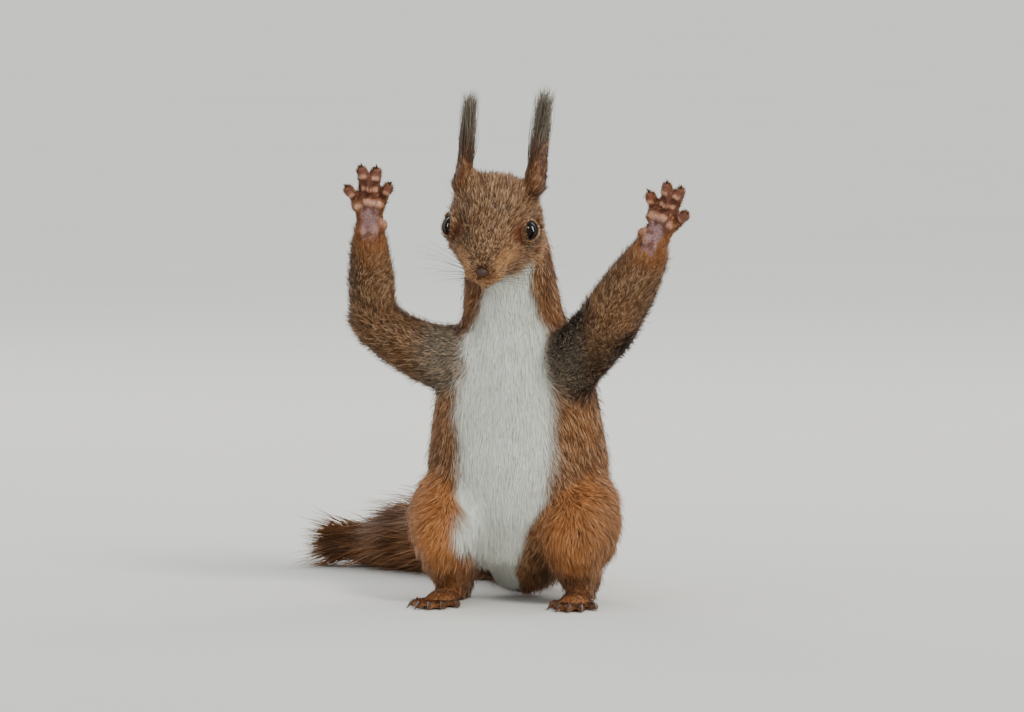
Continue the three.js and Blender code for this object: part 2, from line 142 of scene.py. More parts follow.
# %% Wires
class Wire:
    """An output socket that can stand in a sum."""

    def __init__(self, tree, socket=None):
        self.tree = tree
        self.socket = socket

    def node(self, kind, settings=None, inputs=None, out=0):
        made = self.tree.nodes.new(kind)
        for key, value in (settings or {}).items():
            if key == "stops":
                ramp = made.color_ramp.elements
                while len(ramp) < len(value):
                    ramp.new(1.0)
                for stop, (place, colour) in zip(ramp, value):
                    stop.position = place
                    stop.color = colour
            else:
                setattr(made, key, value)
        for key, value in (inputs or {}).items():
            if isinstance(value, Wire):
                self.tree.links.new(value.socket, made.inputs[key])
            else:
                made.inputs[key].default_value = value
        return Wire(self.tree, made.outputs[out] if len(made.outputs) else None)

    def sum(self, operation, first, second, clamped=False):
        settings = {"operation": operation, "use_clamp": clamped}
        return self.node("ShaderNodeMath", settings, {0: first, 1: second})

    def __add__(self, other):
        return self.sum("ADD", self, other)

    __radd__ = __add__

    def __sub__(self, other):
        return self.sum("SUBTRACT", self, other)

    def __rsub__(self, other):
        return self.sum("SUBTRACT", other, self)

    def __mul__(self, other):
        return self.sum("MULTIPLY", self, other)

    __rmul__ = __mul__

    def texture(self, kind, scale, detail=2.0, settings=None):
        """A pattern fixed to the piece that wears it."""
        place = self.node("ShaderNodeTexCoord", out="Object")
        inputs = {"Vector": place, "Scale": scale}
        if kind == "ShaderNodeTexNoise":
            inputs["Detail"] = detail
        return self.node(kind, settings, inputs)

    def between(self, low, high):
        """0 below low, 1 above high, a straight ramp from one to the other."""
        inputs = {"Value": self, "From Min": low, "From Max": high}
        return self.node("ShaderNodeMapRange", {"clamp": True}, inputs)

    def mix(self, first, second, blend="MIX"):
        """Colours: first where this wire is 0, second where it is 1."""
        settings = {"data_type": "RGBA", "blend_type": blend, "clamp_factor": True}
        return self.node("ShaderNodeMix", settings, {0: self, 6: first, 7: second}, out=2)


print("wires ready")

# %% [markdown]
# Colours are easier to choose as they look on a screen, but Blender adds up light, so each one is turned
# from the one scale into the other. Every material starts as an empty network and ends the same way.


# %% Colours and finishes
def colour(red, green, blue):
    """A colour as it looks on a screen, 0 to 255, in the linear light that Blender works in."""
    shares = [value / 255 for value in (red, green, blue)]
    linear = [s / 12.92 if s <= 0.04045 else ((s + 0.055) / 1.055) ** 2.4 for s in shares]
    return (*linear, 1.0)


def new_material(name):
    material = bpy.data.materials.new(name)
    material.use_nodes = True
    material.node_tree.nodes.clear()
    return material, Wire(material.node_tree)


def finish_material(wires, inputs):
    """Ends a network in the one shader that every finish here uses, with the sockets it sets."""
    surface = wires.node("ShaderNodeBsdfPrincipled", None, inputs)
    wires.node("ShaderNodeOutputMaterial", None, {"Surface": surface})


print("a screen grey of 128 is", round(colour(128, 128, 128)[0], 3), "in linear light")

# %% [markdown]
# ## Meshes from numbers
#
# Hair by the hundred thousand is too much for one Blender call each, so meshes are built from whole
# arrays at once. Marks such as where the belly is white travel with the mesh as named attributes, which
# the materials read.


# %% Mesh makers
def new_object(name, points, faces, material, smooth=True):
    points = np.asarray(points, np.float32)
    faces = np.asarray(faces, np.int32)
    mesh = bpy.data.meshes.new(name)
    mesh.vertices.add(len(points))
    mesh.vertices.foreach_set("co", points.ravel())
    mesh.loops.add(faces.size)
    mesh.loops.foreach_set("vertex_index", faces.ravel())
    mesh.polygons.add(len(faces))
    mesh.polygons.foreach_set("loop_start", np.arange(0, faces.size, faces.shape[1], dtype=np.int32))
    mesh.polygons.foreach_set("use_smooth", np.full(len(faces), smooth))
    mesh.update(calc_edges=True)
    mesh.validate()
    if material:
        mesh.materials.append(material)
    made = bpy.data.objects.new(name, mesh)
    bpy.context.collection.objects.link(made)
    return made


def set_marks(made, marks):
    """Stores each array of one number, or of three, as an attribute of the vertices."""
    for name, values in marks.items():
        values = np.asarray(values, np.float32)
        kind, key = ("FLOAT", "value") if values.ndim == 1 else ("FLOAT_VECTOR", "vector")
        made.data.attributes.new(name, kind, "POINT").data.foreach_set(key, values.ravel())


def arrays(mesh):
    """A mesh's points and triangles."""
    mesh.calc_loop_triangles()
    points = np.empty(len(mesh.vertices) * 3, np.float32)
    mesh.vertices.foreach_get("co", points)
    triangles = np.empty(len(mesh.loop_triangles) * 3, np.int32)
    mesh.loop_triangles.foreach_get("vertices", triangles)
    return points.reshape(-1, 3).astype(float), triangles.reshape(-1, 3)


print("the head's solid has", len(arrays(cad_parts["head"].data)[1]), "triangles")

# %% [markdown]
# Three sums come back all through the work: the edges of a mesh, the direction that each point faces, and
# a value spread gently from each point to its neighbours. Soft steps make every blend.


# %% Sums over a mesh
def edges_of(triangles):
    pairs = np.sort(np.concatenate([triangles[:, [0, 1]], triangles[:, [1, 2]], triangles[:, [2, 0]]]), 1)
    return np.unique(pairs, axis=0)


def normals_of(points, triangles):
    corners = points[triangles]
    faces = np.cross(corners[:, 1] - corners[:, 0], corners[:, 2] - corners[:, 0])
    total = np.zeros_like(points)
    for axis in range(3):
        for corner in range(3):
            total[:, axis] += np.bincount(triangles[:, corner], faces[:, axis], len(points))
    return unit(total)


def relaxed(values, edges, rounds, share=0.5):
    """Each value moves towards the mean of its neighbours, as often as there are rounds."""
    values = np.array(values, float)
    flat = values.reshape(len(values), -1)
    share = np.broadcast_to(np.asarray(share, float).reshape(-1, 1), (len(flat), 1))
    first, second = edges.T
    count = np.maximum(np.bincount(edges.ravel(), minlength=len(flat)), 1)[:, None]
    for _ in range(rounds):
        near = np.empty_like(flat)
        for k in range(flat.shape[1]):
            near[:, k] = np.bincount(first, flat[second, k], len(flat))
            near[:, k] += np.bincount(second, flat[first, k], len(flat))
        flat += share * (near / count - flat)
    return flat.reshape(values.shape)


def smooth_step(values, low, high):
    """0 below low, 1 above high, and a soft curve between."""
    share = np.clip((np.asarray(values) - low) / (high - low), 0, 1)
    return share * share * (3 - 2 * share)


def fade(values, low, high):
    return 1 - smooth_step(values, low, high)


print("a soft step a quarter of the way up gives", smooth_step(0.25, 0, 1))

# %% [markdown]
# ## Frames of reference
#
# A face is easiest to shape in the head's own directions: left, back and up. They are worked out from
# the two eyes and the nose. Each limb gets directions in the same way, from its own pieces.

# %% The head's own directions
NOSE_BELOW_EYES = 4.0
NOSE_AHEAD = 22.5
EYE_LINE_DROP = 0.9

eye_at = {side: middle(f"eye_{side}") for side in SIDES}
EYE_RADIUS = float(np.mean([box(f"eye_{side}")[1] - box(f"eye_{side}")[0] for side in SIDES])) / 2
eye_line = (eye_at["left"] + eye_at["right"]) / 2
head_left = unit(eye_at["left"] - eye_at["right"])
to_nose = unit(across_to(head_left, middle("nose") - eye_line))
nose_up = unit(np.cross(head_left, -to_nose))
nose_dip = math.atan2(NOSE_BELOW_EYES, NOSE_AHEAD)
head_forward = math.cos(nose_dip) * to_nose + math.sin(nose_dip) * nose_up
head_up = math.cos(nose_dip) * nose_up - math.sin(nose_dip) * to_nose
head_axes = np.array([head_left, -head_forward, head_up])
head_at = eye_line + head_up * EYE_LINE_DROP * MM


def in_head(points):
    """Millimetres to the head's left, back and up."""
    return (points - head_at) @ head_axes.T / MM


def from_head(points):
    return head_at + np.asarray(points) * MM @ head_axes


print("head at", np.round(head_at / MM, 1), "eye radius", round(EYE_RADIUS / MM, 2))
print("nose in the head", np.round(in_head(middle("nose")), 1))
print("left eye in the head", np.round(in_head(eye_at["left"]), 1))

# %% The limbs' directions
FAR_SHARE = 0.85


def cad_points(name):
    return arrays(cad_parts[name].data)[0]


def far_end(name, start):
    """Where a node ends, seen from a start point: the mean of its farthest points."""
    points = cad_points(name)
    distance = np.linalg.norm(points - start, axis=1)
    return points[distance > np.quantile(distance, FAR_SHARE)].mean(0)


hand = {}
foot = {}
for side, sign in SIDES.items():
    fingertips = np.mean([middle(f"claw_hand_{side}_{k}") for k in (3, 4)], axis=0)
    wrist = far_end(f"hand_{side}", fingertips)
    fingers = unit(fingertips - wrist)
    palm = unit(across_to(fingers, np.array([-0.1 * sign, -1.0, 0.0])))
    hand[side] = (wrist, np.array([np.cross(palm, fingers) * sign, palm, fingers]))
    toes = np.mean([middle(f"claw_foot_{side}_{k}") for k in (2, 3, 4)], axis=0)
    heel = far_end(f"foot_{side}", toes)
    ahead = unit(across_to(np.array([0, 0, 1.0]), toes - heel))
    foot[side] = (heel, np.array([np.cross(np.array([0, 0, 1.0]), ahead) * -sign, [0, 0, -1.0], ahead]))
    print(side, "wrist", np.round(wrist / MM, 1), "fingers point", np.round(fingers, 2))

# %% [markdown]
# The tail sweeps round a point on the ground beside the animal, so an angle about it tells how far
# along the tail a place is. An ear is measured up from the foot of its own solid.

# %% Along the tail, up the ears
TAIL_TURN_IN = 28 * MM
tail_turn = np.array([box("tail_tip")[0][0] + TAIL_TURN_IN, box("trunk")[1][1], 0.0])


def along_tail(points):
    away = points - tail_turn
    return np.arctan2(away[:, 1], away[:, 0])


ear_foot = {side: box(f"ear_{side}")[0][2] for side in SIDES}
ear_tall = {side: box(f"ear_{side}")[1][2] - ear_foot[side] for side in SIDES}
print("the tail turns about", np.round(tail_turn / MM, 1))
print("the left ear is", round(ear_tall["left"] / MM, 1), "mm tall")

# %% [markdown]
# ## One skin
#
# The solids meet at thin gaps, which would show as seams. Copies of them are swollen a little so that
# they overlap, and a voxel remesh melts them into one closed surface. The facets are then smoothed
# away, least on the fingers and most on the body, and the surface sinks by the depth of the coat.

# %% Swollen copies
flesh = [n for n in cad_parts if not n.startswith(("claw", "ear_tuft", "eye", "nose"))]


def swollen(name, amount):
    work = bmesh.new()
    work.from_mesh(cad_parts[name].data)
    bmesh.ops.remove_doubles(work, verts=work.verts, dist=1e-6)
    work.normal_update()
    for vertex in work.verts:
        vertex.co += vertex.normal * amount
    mesh = bpy.data.meshes.new("swollen")
    work.to_mesh(mesh)
    work.free()
    points, triangles = arrays(mesh)
    bpy.data.meshes.remove(mesh)
    return points, triangles


def together(parts):
    """Several (points, faces) as one."""
    starts = np.cumsum([0] + [len(points) for points, _ in parts])
    points = np.concatenate([points for points, _ in parts])
    return points, np.concatenate([faces + start for (_, faces), start in zip(parts, starts)])


def through_modifier(points, triangles, kind, settings, weights=None):
    """The arrays after one modifier."""
    work = new_object("work", points, triangles, None)
    if weights is not None:
        group = work.vertex_groups.new(name="amount")
        for level in np.unique(np.round(weights, 1)):
            members = np.flatnonzero(np.round(weights, 1) == level)
            group.add(members.tolist(), float(level), "REPLACE")
    modifier = work.modifiers.new("step", kind)
    for key, value in settings.items():
        setattr(modifier, key, value)
    graph = bpy.context.evaluated_depsgraph_get()
    result = arrays(bpy.data.meshes.new_from_object(work.evaluated_get(graph)))
    bpy.data.objects.remove(work)
    return result


print(len(flesh), "nodes of flesh")

# %% [markdown]
# The fingers are held close together, so a small ball or two fills the cleft beside each, as the webs
# of skin between them do. The same ball, made finer, is later an eye and the start of the nose.


# %% Webs between the fingers
def ball_grid(rows, columns):
    """Directions and triangles of a ball with its poles along z."""
    tilt = np.linspace(0, math.pi, rows + 1)[1:-1]
    round_about = np.arange(columns) * 2 * math.pi / columns
    tilt, round_about = np.meshgrid(tilt, round_about, indexing="ij")
    spots = [np.sin(tilt) * np.cos(round_about), np.sin(tilt) * np.sin(round_about), np.cos(tilt)]
    spots = np.concatenate([np.stack(spots, -1).reshape(-1, 3), [[0, 0, 1.0], [0, 0, -1.0]]])
    top, bottom = len(spots) - 2, len(spots) - 1
    faces = []
    for s in range(columns):
        t = (s + 1) % columns
        for k in range(rows - 2):
            a, b = k * columns, (k + 1) * columns
            faces += [(a + s, b + s, b + t), (a + s, b + t, a + t)]
        last = (rows - 2) * columns
        faces += [(top, s, t), (bottom, last + t, last + s)]
    return spots, np.array(faces)


WEB_RADIUS = 1.4 * MM
WEB_GRID = (8, 10)
WEB_PLACES = ((0.56,), (0.62, 0.74, 0.84), (0.56,))
webs = []
for side in SIDES:
    tips = [middle(f"claw_hand_{side}_{k}") for k in range(2, 6)]
    for first, second, places in zip(tips[:-1], tips[1:], WEB_PLACES):
        for share in places:
            centre = hand[side][0] * (1 - share) + (first + second) / 2 * share
            directions, faces = ball_grid(*WEB_GRID)
            webs.append((centre + directions * WEB_RADIUS, faces))
print(len(webs), "webs")

# %% Melt the solids together
SWELL = 0.45 * MM
FINE_SWELL = 0.15 * MM
VOXEL = 0.6 * MM
grown = []
for name in flesh + ["eye_left", "eye_right"]:
    grown.append(swollen(name, FINE_SWELL if name.startswith(("hand", "foot")) else SWELL))
grown += webs
points, triangles = through_modifier(*together(grown), "REMESH", {"mode": "VOXEL", "voxel_size": VOXEL})
print("melted:", len(points), "points")


# %% Keep the outer surface only
def largest_part(points, triangles):
    label = np.arange(len(points))
    edges = edges_of(triangles)
    while True:
        low = np.minimum(label[edges[:, 0]], label[edges[:, 1]])
        before = label.copy()
        np.minimum.at(label, edges[:, 0], low)
        np.minimum.at(label, edges[:, 1], low)
        label = label[label]
        if (label == before).all():
            break
    keep = label == np.bincount(label).argmax()
    place = np.cumsum(keep) - 1
    return points[keep], place[triangles[keep[triangles[:, 0]]]]


points, triangles = largest_part(points, triangles)
print("outer surface:", len(points), "points")

# %% [markdown]
# Every point of the skin is told which solid it belongs to: the nearest one. Those labels are spread
# over the surface a little, so that a place near a joint is partly one and partly the other, and all
# that depends on them, such as the length of the coat, changes gradually.

# %% Which part each point belongs to
solids = [(cad_points(n), arrays(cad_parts[n].data)[1]) for n in flesh]
solid_of_face = np.repeat(np.arange(len(flesh)), [len(faces) for _, faces in solids])
near_solid = BVHTree.FromPolygons(*[part.tolist() for part in together(solids)])


def belongs(points):
    return solid_of_face[[near_solid.find_nearest(point)[2] for point in points.tolist()]]


def spread_labels(label, edges, rounds):
    return relaxed(np.eye(len(flesh))[label], edges, rounds)


# The build of each region, in millimetres: how deep the coat is, how far the facets are smoothed away
# from 0 to 1, how long and wide a hair is, and how strongly hairs draw together in locks.
REGIONS = {
    "head": (1.9, 0.55, 3.9, 0.17, 0.3),
    "ear": (0.5, 0.12, 2.6, 0.20, 0.3),
    "neck": (2.8, 1.0, 6.5, 0.27, 0.4),
    "trunk": (2.9, 1.0, 6.8, 0.26, 0.35),
    "upper_arm": (2.3, 0.9, 4.9, 0.21, 0.35),
    "forearm": (1.9, 0.7, 3.9, 0.20, 0.35),
    "hand": (0.1, 0.09, 2.2, 0.17, 0.2),
    "thigh": (2.6, 1.0, 7.4, 0.29, 0.3),
    "shank": (2.0, 0.9, 4.8, 0.27, 0.3),
    "foot": (0.5, 0.12, 2.0, 0.20, 0.2),
    "tail": (1.0, 1.0, 26.0, 0.42, 0.3),
}
region_of = [next(r for r in REGIONS if n.startswith(r)) for n in flesh]
DEPTH, SOFTEN, LENGTH, WIDTH, LOCK = np.array([REGIONS[r] for r in region_of]).T
print("coat from", DEPTH.min(), "to", DEPTH.max(), "mm deep")

# %% [markdown]
# The melted surface still shows the solids' facets. Each point moves towards its neighbours' mean, many
# times on the body and hardly at all on the fingers. Then the surface sinks in small steps, because a
# single deep step would fold it over itself in the creases.

# %% Smooth the facets and sink by the coat
SMOOTH_ROUNDS = 60
SINK_STEPS = 6
EAR_ROOT = (5, 13)
edges = edges_of(triangles)
shares = spread_labels(belongs(points), edges, 12)
soften = shares @ SOFTEN
for side in SIDES:
    ear = shares[:, flesh.index(f"ear_{side}")]
    low, high = (ear_foot[side] + reach * MM for reach in EAR_ROOT)
    soften = np.maximum(soften, ear * fade(points[:, 2], low, high))
points = relaxed(points, edges, SMOOTH_ROUNDS, 0.5 * soften)
sink = shares @ DEPTH * MM
for _ in range(SINK_STEPS):
    points = points - normals_of(points, triangles) * (sink / SINK_STEPS)[:, None]
    points = relaxed(points, edges, 1, 0.4 * (shares @ SOFTEN))
print("sunk by", np.round([sink.min() / MM, sink.max() / MM], 1), "mm")

# %% [markdown]
# The tail of a squirrel is a thin rod of flesh with hair as long as a finger joint on every side. So the
# skin there shrinks towards the middle of the tail, and the hair will fill the volume again.

# %% The tail's core
TAIL_CORE = 0.42
TAIL_EASE = 0.55
TAIL_SHORT = 0.91
TAIL_TAPER = 0.6
TAIL_TAPER_FROM = 0.45
MIDDLE_CURVE = 4
of_tail = np.array([r == "tail" for r in region_of], float)
tail_share = shares @ of_tail
angle = along_tail(points)
inner = tail_share > 0.6
middle_curve = [np.polyfit(angle[inner], points[inner, k], MIDDLE_CURVE) for k in range(3)]
TAIL_START, TAIL_END = np.quantile(angle[inner], [0.005, 0.998])


def middle_at(angles):
    angles = np.clip(angles, TAIL_START, TAIL_END)
    return np.stack([np.polyval(curve, angles) for curve in middle_curve], 1)


def tail_middle(places):
    return middle_at(along_tail(places))


# Each point slides back along the tail as far as its share of the way, turning with the bend.
slim = 1 - (1 - TAIL_CORE) * smooth_step(angle, TAIL_START, TAIL_START + TAIL_EASE) * tail_share
slim *= 1 - TAIL_TAPER * smooth_step(angle, TAIL_END - TAIL_TAPER_FROM, TAIL_END) * tail_share
back = (np.maximum(angle - TAIL_START, 0) * (TAIL_SHORT - 1) * tail_share)[:, None]
out_from_core = (points - tail_middle(points)) * slim[:, None]
east, north, up = out_from_core.T[:, :, None]
turned_east = east * np.cos(back) - north * np.sin(back)
turned_north = east * np.sin(back) + north * np.cos(back)
slid = middle_at(angle + back[:, 0]) + np.hstack([turned_east, turned_north, up])
points = np.where(tail_share[:, None] > 0, slid, points)
print("tail runs from", round(math.degrees(TAIL_START)), "to", round(math.degrees(TAIL_END)), "degrees")

# %% [markdown]
# The melted surface has more points than anyone needs on a flat flank. A weighted decimation keeps them
# on the face, hands and feet, where the table gives a low share of the thinning.

# %% Thin out the surface
SKIN_FACES = 185000
DETAIL = {"head": 0.1, "ear": 0.1, "hand": 0.0, "foot": 0.2, "neck": 0.8}
plainness = shares @ np.array([DETAIL.get(r, 1.0) for r in region_of])
settings = {"ratio": SKIN_FACES / len(triangles), "vertex_group": "amount"}
points, triangles = through_modifier(points, triangles, "DECIMATE", settings, plainness)
edges = edges_of(triangles)
print("skin:", len(points), "points,", len(triangles), "triangles")

# %% [markdown]
# Loose skin and deep fur bridge the creases where a thigh or an arm meets the body. So the surface is
# relaxed strongly in a copy, and wherever the copy lies outside, in the hollows, the skin follows it.

# %% Bridge the creases
BRIDGE_ROUNDS = 110
BRIDGED = ("trunk", "neck", "thigh", "shank", "upper_arm")
EAR_FOOT_REACH = (6, 14)
near_parts = spread_labels(belongs(points), edges, 10)
in_bridge = near_parts @ np.array([n.startswith(BRIDGED) for n in flesh], float)
for side in SIDES:
    away = np.linalg.norm(points - [*middle(f"ear_{side}")[:2], ear_foot[side]], axis=1) / MM
    in_bridge = np.maximum(in_bridge, fade(away, *EAR_FOOT_REACH))
nape = near_parts @ np.array([n == "head" for n in flesh], float) * smooth_step(in_head(points)[:, 1], 4, 10)
in_bridge = np.maximum(in_bridge, nape)
relaxed_copy = relaxed(points, edges, BRIDGE_ROUNDS)
outward = normals_of(relaxed_copy, triangles)
lift = np.maximum(((relaxed_copy - points) * outward).sum(1), 0) * in_bridge
points = points + outward * relaxed(lift, edges, 4)[:, None]
print("creases bridged by up to", round(lift.max() / MM, 1), "mm")

# %% [markdown]
# ## Lids and mouth
#
# A living eye is a ball deep in the head with only a part showing. Around each ball the skin is moved
# along the lines from the ball's centre: under the ball inside the opening, close over it at the rim,
# and back to the head's own shape a few millimetres away. The opening is an oval whose long axis dips
# towards the nose.

# %% The openings of the eyes
EYE_OUT = 0.70
EYE_AHEAD = 0.36
EYE_RAISED = 0.53
OPENING_DIP = math.radians(22)
OPENING_LONG = math.radians(50)
OPENING_HIGH = math.radians(38)
FRONT_CORNER = 0.16
UNDER_BALL = 0.9 * MM
LID_HEIGHT = 0.42 * MM


def eye_axes(side):
    """Where an eye looks, the long way of its opening, and the way across that."""
    look = unit(head_left * SIDES[side] * EYE_OUT + head_forward * EYE_AHEAD + head_up * EYE_RAISED)
    front = unit(across_to(look, head_forward * math.cos(OPENING_DIP) - head_up * math.sin(OPENING_DIP)))
    return np.array([front, np.cross(look, front) * SIDES[side], look])


def opening_edge(forward, upward):
    """How far off its look the opening ends: an oval drawn out to a corner at the front."""
    corner = 1 + FRONT_CORNER * np.maximum(forward, 0) ** 8
    return corner / np.hypot(forward / OPENING_LONG, upward / OPENING_HIGH)


def opening_share(points, side):
    """Distance from the centre of the eye, and the angle off its look as a share of the opening's edge."""
    away = points - eye_at[side]
    distance = np.linalg.norm(away, axis=1)
    along, high, ahead = (unit(away) @ eye_axes(side).T).T
    round_about = np.maximum(np.hypot(along, high), 1e-9)
    return distance, np.arccos(np.clip(ahead, -1, 1)) / opening_edge(along / round_about, high / round_about)


print("left eye looks", np.round(eye_axes("left")[2], 2))

# %% Shape the lids
SOCKET_REACH = 2.3
RIM_EASE = (0.93, 1.03)
LID_EASE = (1.1, 1.6)
LID_END = 2.2
for side in SIDES:
    distance, share = opening_share(points, side)
    near = distance < SOCKET_REACH * EYE_RADIUS
    rim = EYE_RADIUS + LID_HEIGHT
    outside = np.maximum(distance, rim)
    shaped = rim + (outside - rim) * smooth_step(share, *LID_EASE)
    shaped = shaped - (UNDER_BALL + LID_HEIGHT) * fade(share, *RIM_EASE)
    moved = eye_at[side] + unit(points - eye_at[side]) * shaped[:, None]
    points = np.where(near[:, None] & (share < LID_END)[:, None], moved, points)
    print(side, "eye opening:", int((near & (share < 1)).sum()), "points inside")

# %% [markdown]
# The closed mouth is a shallow groove between the whisker pads and the chin, and another runs up from
# it to the nose. Each is drawn as a bent line in the head's own millimetres and laid on the skin. The
# skin sinks by how near it is to the line, which gives a soft crease and no hard edge.

# %% The mouth and the groove under the nose
MOUTH_LINE = [(0, -23, -11.2), (2.4, -21.6, -12.4), (5.0, -18.2, -13.6), (7.4, -13.6, -14.2)]
LIP_GROOVE = [(0, -25, -6.6), (0, -24.6, -9.0), (0, -23, -11.2)]
LINE_STEPS = 6
MOUTH_DEPTH = 0.8
MOUTH_HALF_WIDTH = 0.62
LIP_SHARE = 0.7
near_skin = BVHTree.FromPolygons(points.tolist(), triangles.tolist())


def on_skin(line):
    """A bent line in the head's millimetres, cut up finely and laid on the skin."""
    line = np.array(line, float)
    steps = np.arange((len(line) - 1) * LINE_STEPS + 1) / LINE_STEPS
    fine = np.stack([np.interp(steps, np.arange(len(line)), line[:, k]) for k in range(3)], 1)
    return in_head(np.array([near_skin.find_nearest(place)[0] for place in from_head(fine)]))


mouth_line = on_skin(MOUTH_LINE)
lip_groove = on_skin(LIP_GROOVE)


def distance_to_line(places, line):
    """Distance to a bent line, its points given in order."""
    best = np.full(len(places), 1e9)
    for start, end in zip(line[:-1], line[1:]):
        step = end - start
        share = np.clip(((places - start) @ step) / max(step @ step, 1e-9), 0, 1)
        best = np.minimum(best, np.linalg.norm(places - start - share[:, None] * step, axis=1))
    return best


def mouth_share(places):
    """1 in the mouth's line, 0 away from it. Places are in the head's own millimetres."""
    folded = places.copy()
    folded[:, 0] = np.abs(folded[:, 0])
    lips = np.exp(-((distance_to_line(folded, mouth_line) / MOUTH_HALF_WIDTH) ** 2))
    up_to_nose = np.exp(-((distance_to_line(folded, lip_groove) / MOUTH_HALF_WIDTH) ** 2))
    return np.maximum(lips, LIP_SHARE * up_to_nose)


groove = mouth_share(in_head(points))
points = points - normals_of(points, triangles) * (groove * MOUTH_DEPTH * MM)[:, None]
print("mouth:", int((groove > 0.3).sum()), "points in the groove")

# %% [markdown]
# ## Markings and the lie of the coat
#
# Everything that the coat needs is now measured once at each point of the skin: how white, how bright
# or how bare it is there, how long the hair is, and which way it lies.

# %% Shares of each part on the finished skin
LABEL_ROUNDS = 8
edges = edges_of(triangles)
skin_normal = normals_of(points, triangles)
shares = spread_labels(belongs(points), edges, LABEL_ROUNDS)
soft_normal = unit(relaxed(skin_normal, edges, 3))


def share_of(*starts):
    return shares @ np.array([n.startswith(starts) for n in flesh], float)


head_places = in_head(points)
head_x, head_y, head_z = head_places.T
trunk_x = (points[:, 0] - middle("trunk")[0]) / MM
height = points[:, 2] / MM
facing = soft_normal @ np.array([0, -1.0, 0])
print(int((facing > 0).sum()), "points of the skin face forward")

# %% [markdown]
# Hair on the head streams back from the nose, on the body it runs down, and on a limb it runs from the
# body to the tips. Each part gives its own direction, and the shares blend them, so the coat turns
# gently from one part to the next.

# %% Which way the hair lies
lie = np.zeros_like(points)
DOWN = np.array([0, 0, -1.0])
BACK = np.array([0, 1.0, 0])
OUT = {side: np.array([sign, 0.0, 0]) for side, sign in SIDES.items()}
nose_top = from_head([0, -26, -3.5])
joint_of = {}
for side in SIDES:
    elbow = far_end(f"upper_arm_{side}", middle("trunk"))
    joint_of[side] = far_end(f"upper_arm_{side}", elbow)


def everywhere(way):
    return np.tile(way, (len(points), 1))


for k, name in enumerate(flesh):
    side = name.rsplit("_", 1)[-1]
    if name == "head":
        rising = 0.35 * smooth_step(head_z, -4, 4)[:, None] * head_up
        fanning = 0.25 * np.clip(head_x / 6, -1, 1)[:, None] * head_left
        way = unit(points - nose_top) + rising + fanning
    elif name.startswith("ear"):
        way = everywhere(unit(middle(f"ear_tuft_{side}") - middle(f"ear_{side}")))
    elif name.startswith("upper_arm"):
        way = everywhere(unit(far_end(name, middle("trunk")) - joint_of[side])) + 0.5 * DOWN
    elif name.startswith("forearm"):
        way = everywhere(unit(hand[side][0] - far_end(name, hand[side][0])))
    elif name.startswith("hand"):
        way = everywhere(hand[side][1][2])
    elif name.startswith("foot"):
        way = everywhere(foot[side][1][2])
    elif name.startswith("thigh"):
        way = everywhere(DOWN + 0.12 * BACK + 0.3 * OUT[side])
    elif name.startswith("shank"):
        way = everywhere(DOWN + 0.15 * BACK)
    elif name.startswith("tail"):
        ahead = np.clip(along_tail(points) + 0.04, TAIL_START, TAIL_END + 0.2)
        curve = [np.polyder(c) for c in middle_curve]
        way = unit(np.stack([np.polyval(c, np.clip(ahead, TAIL_START, TAIL_END)) for c in curve], 1))
    else:
        way = everywhere(DOWN + 0.1 * BACK)
    lie += shares[:, k:k + 1] * way
lie = unit(across_to(skin_normal, relaxed(lie, edges, 6)))
print("coat lies along", np.round(lie[::20000], 1).tolist())

# %% [markdown]
# A red squirrel's belly is white from the chin to between the legs, with a soft edge on the flanks. Its
# width is a short table up the body. It could be painted by hand on an image, but a rule in the
# animal's own measures stays sharp at any distance and fits both skin and hair.

# %% White belly and throat
BELLY_HEIGHTS = (0, 13, 21, 28, 36, 44, 59, 95, 108, 118, 130)
BELLY_HALF_WIDTHS = (6, 8, 11, 14, 16.5, 19, 20, 20.5, 18, 12, 9)
BELLY_MIDDLES = (-7, -6.8, -6, -5.5, -4.6, -2.4, -2, -2, -1, 0, 0)
half_belly = np.interp(height, BELLY_HEIGHTS, BELLY_HALF_WIDTHS)
belly_x = trunk_x - np.interp(height, BELLY_HEIGHTS, BELLY_MIDDLES)
body = share_of("trunk", "neck")
leg_top = share_of("thigh")
on_head = share_of("head")
arm = share_of("upper_arm", "forearm")
belly = fade(np.abs(belly_x) / half_belly, 0.8, 1.06) * smooth_step(facing, -0.1, 0.25)
throat = fade(head_z, -17.5, -14.5) * fade(np.abs(head_x), 6, 11)
throat *= fade(head_y, 12, 19)
print("white:", int((belly * body > 0.5).sum()), "points of the body")

# %% [markdown]
# The face is greyish brown above and orange beside the muzzle, with a pale ring round each eye and a dark
# rusty patch in front of it. The wrists are rusty too, and the inside of the upper arms is grey.

# %% Face and arms
RING_REACH = (1.15, 1.4)
RUST_PATCH_AT = np.array([-5.2, -4.6, 0.6])
RUST_PATCH_REACH = (2.4, 6.4)
WRIST_REACH = (6, 17)
flank = smooth_step(-head_y, 7, 14) * smooth_step(np.abs(head_x), 3.0, 6.0)
flank *= fade(head_z, -4.5, 0.5)
low_face = fade(head_z + 0.25 * head_y, -13, -7) * fade(head_y, 6, 14)
ring = np.zeros(len(points))
patch = np.zeros(len(points))
for side, sign in SIDES.items():
    distance, share = opening_share(points, side)
    above = np.clip(0.3 + 0.7 * (unit(points - eye_at[side]) @ eye_axes(side)[1]), 0, 1)
    near = (distance < SOCKET_REACH * EYE_RADIUS) & (share > 0.9)
    ring = np.maximum(ring, near * fade(share, *RING_REACH) * above)
    away = np.linalg.norm(head_places - in_head(eye_at[side]) - RUST_PATCH_AT * [sign, 1, 1], axis=1)
    patch = np.maximum(patch, fade(away, *RUST_PATCH_REACH))
ring *= 1 - 0.9 * patch
orange_face = np.maximum(0.95 * flank, 0.35 * low_face)
wrist = np.zeros(len(points))
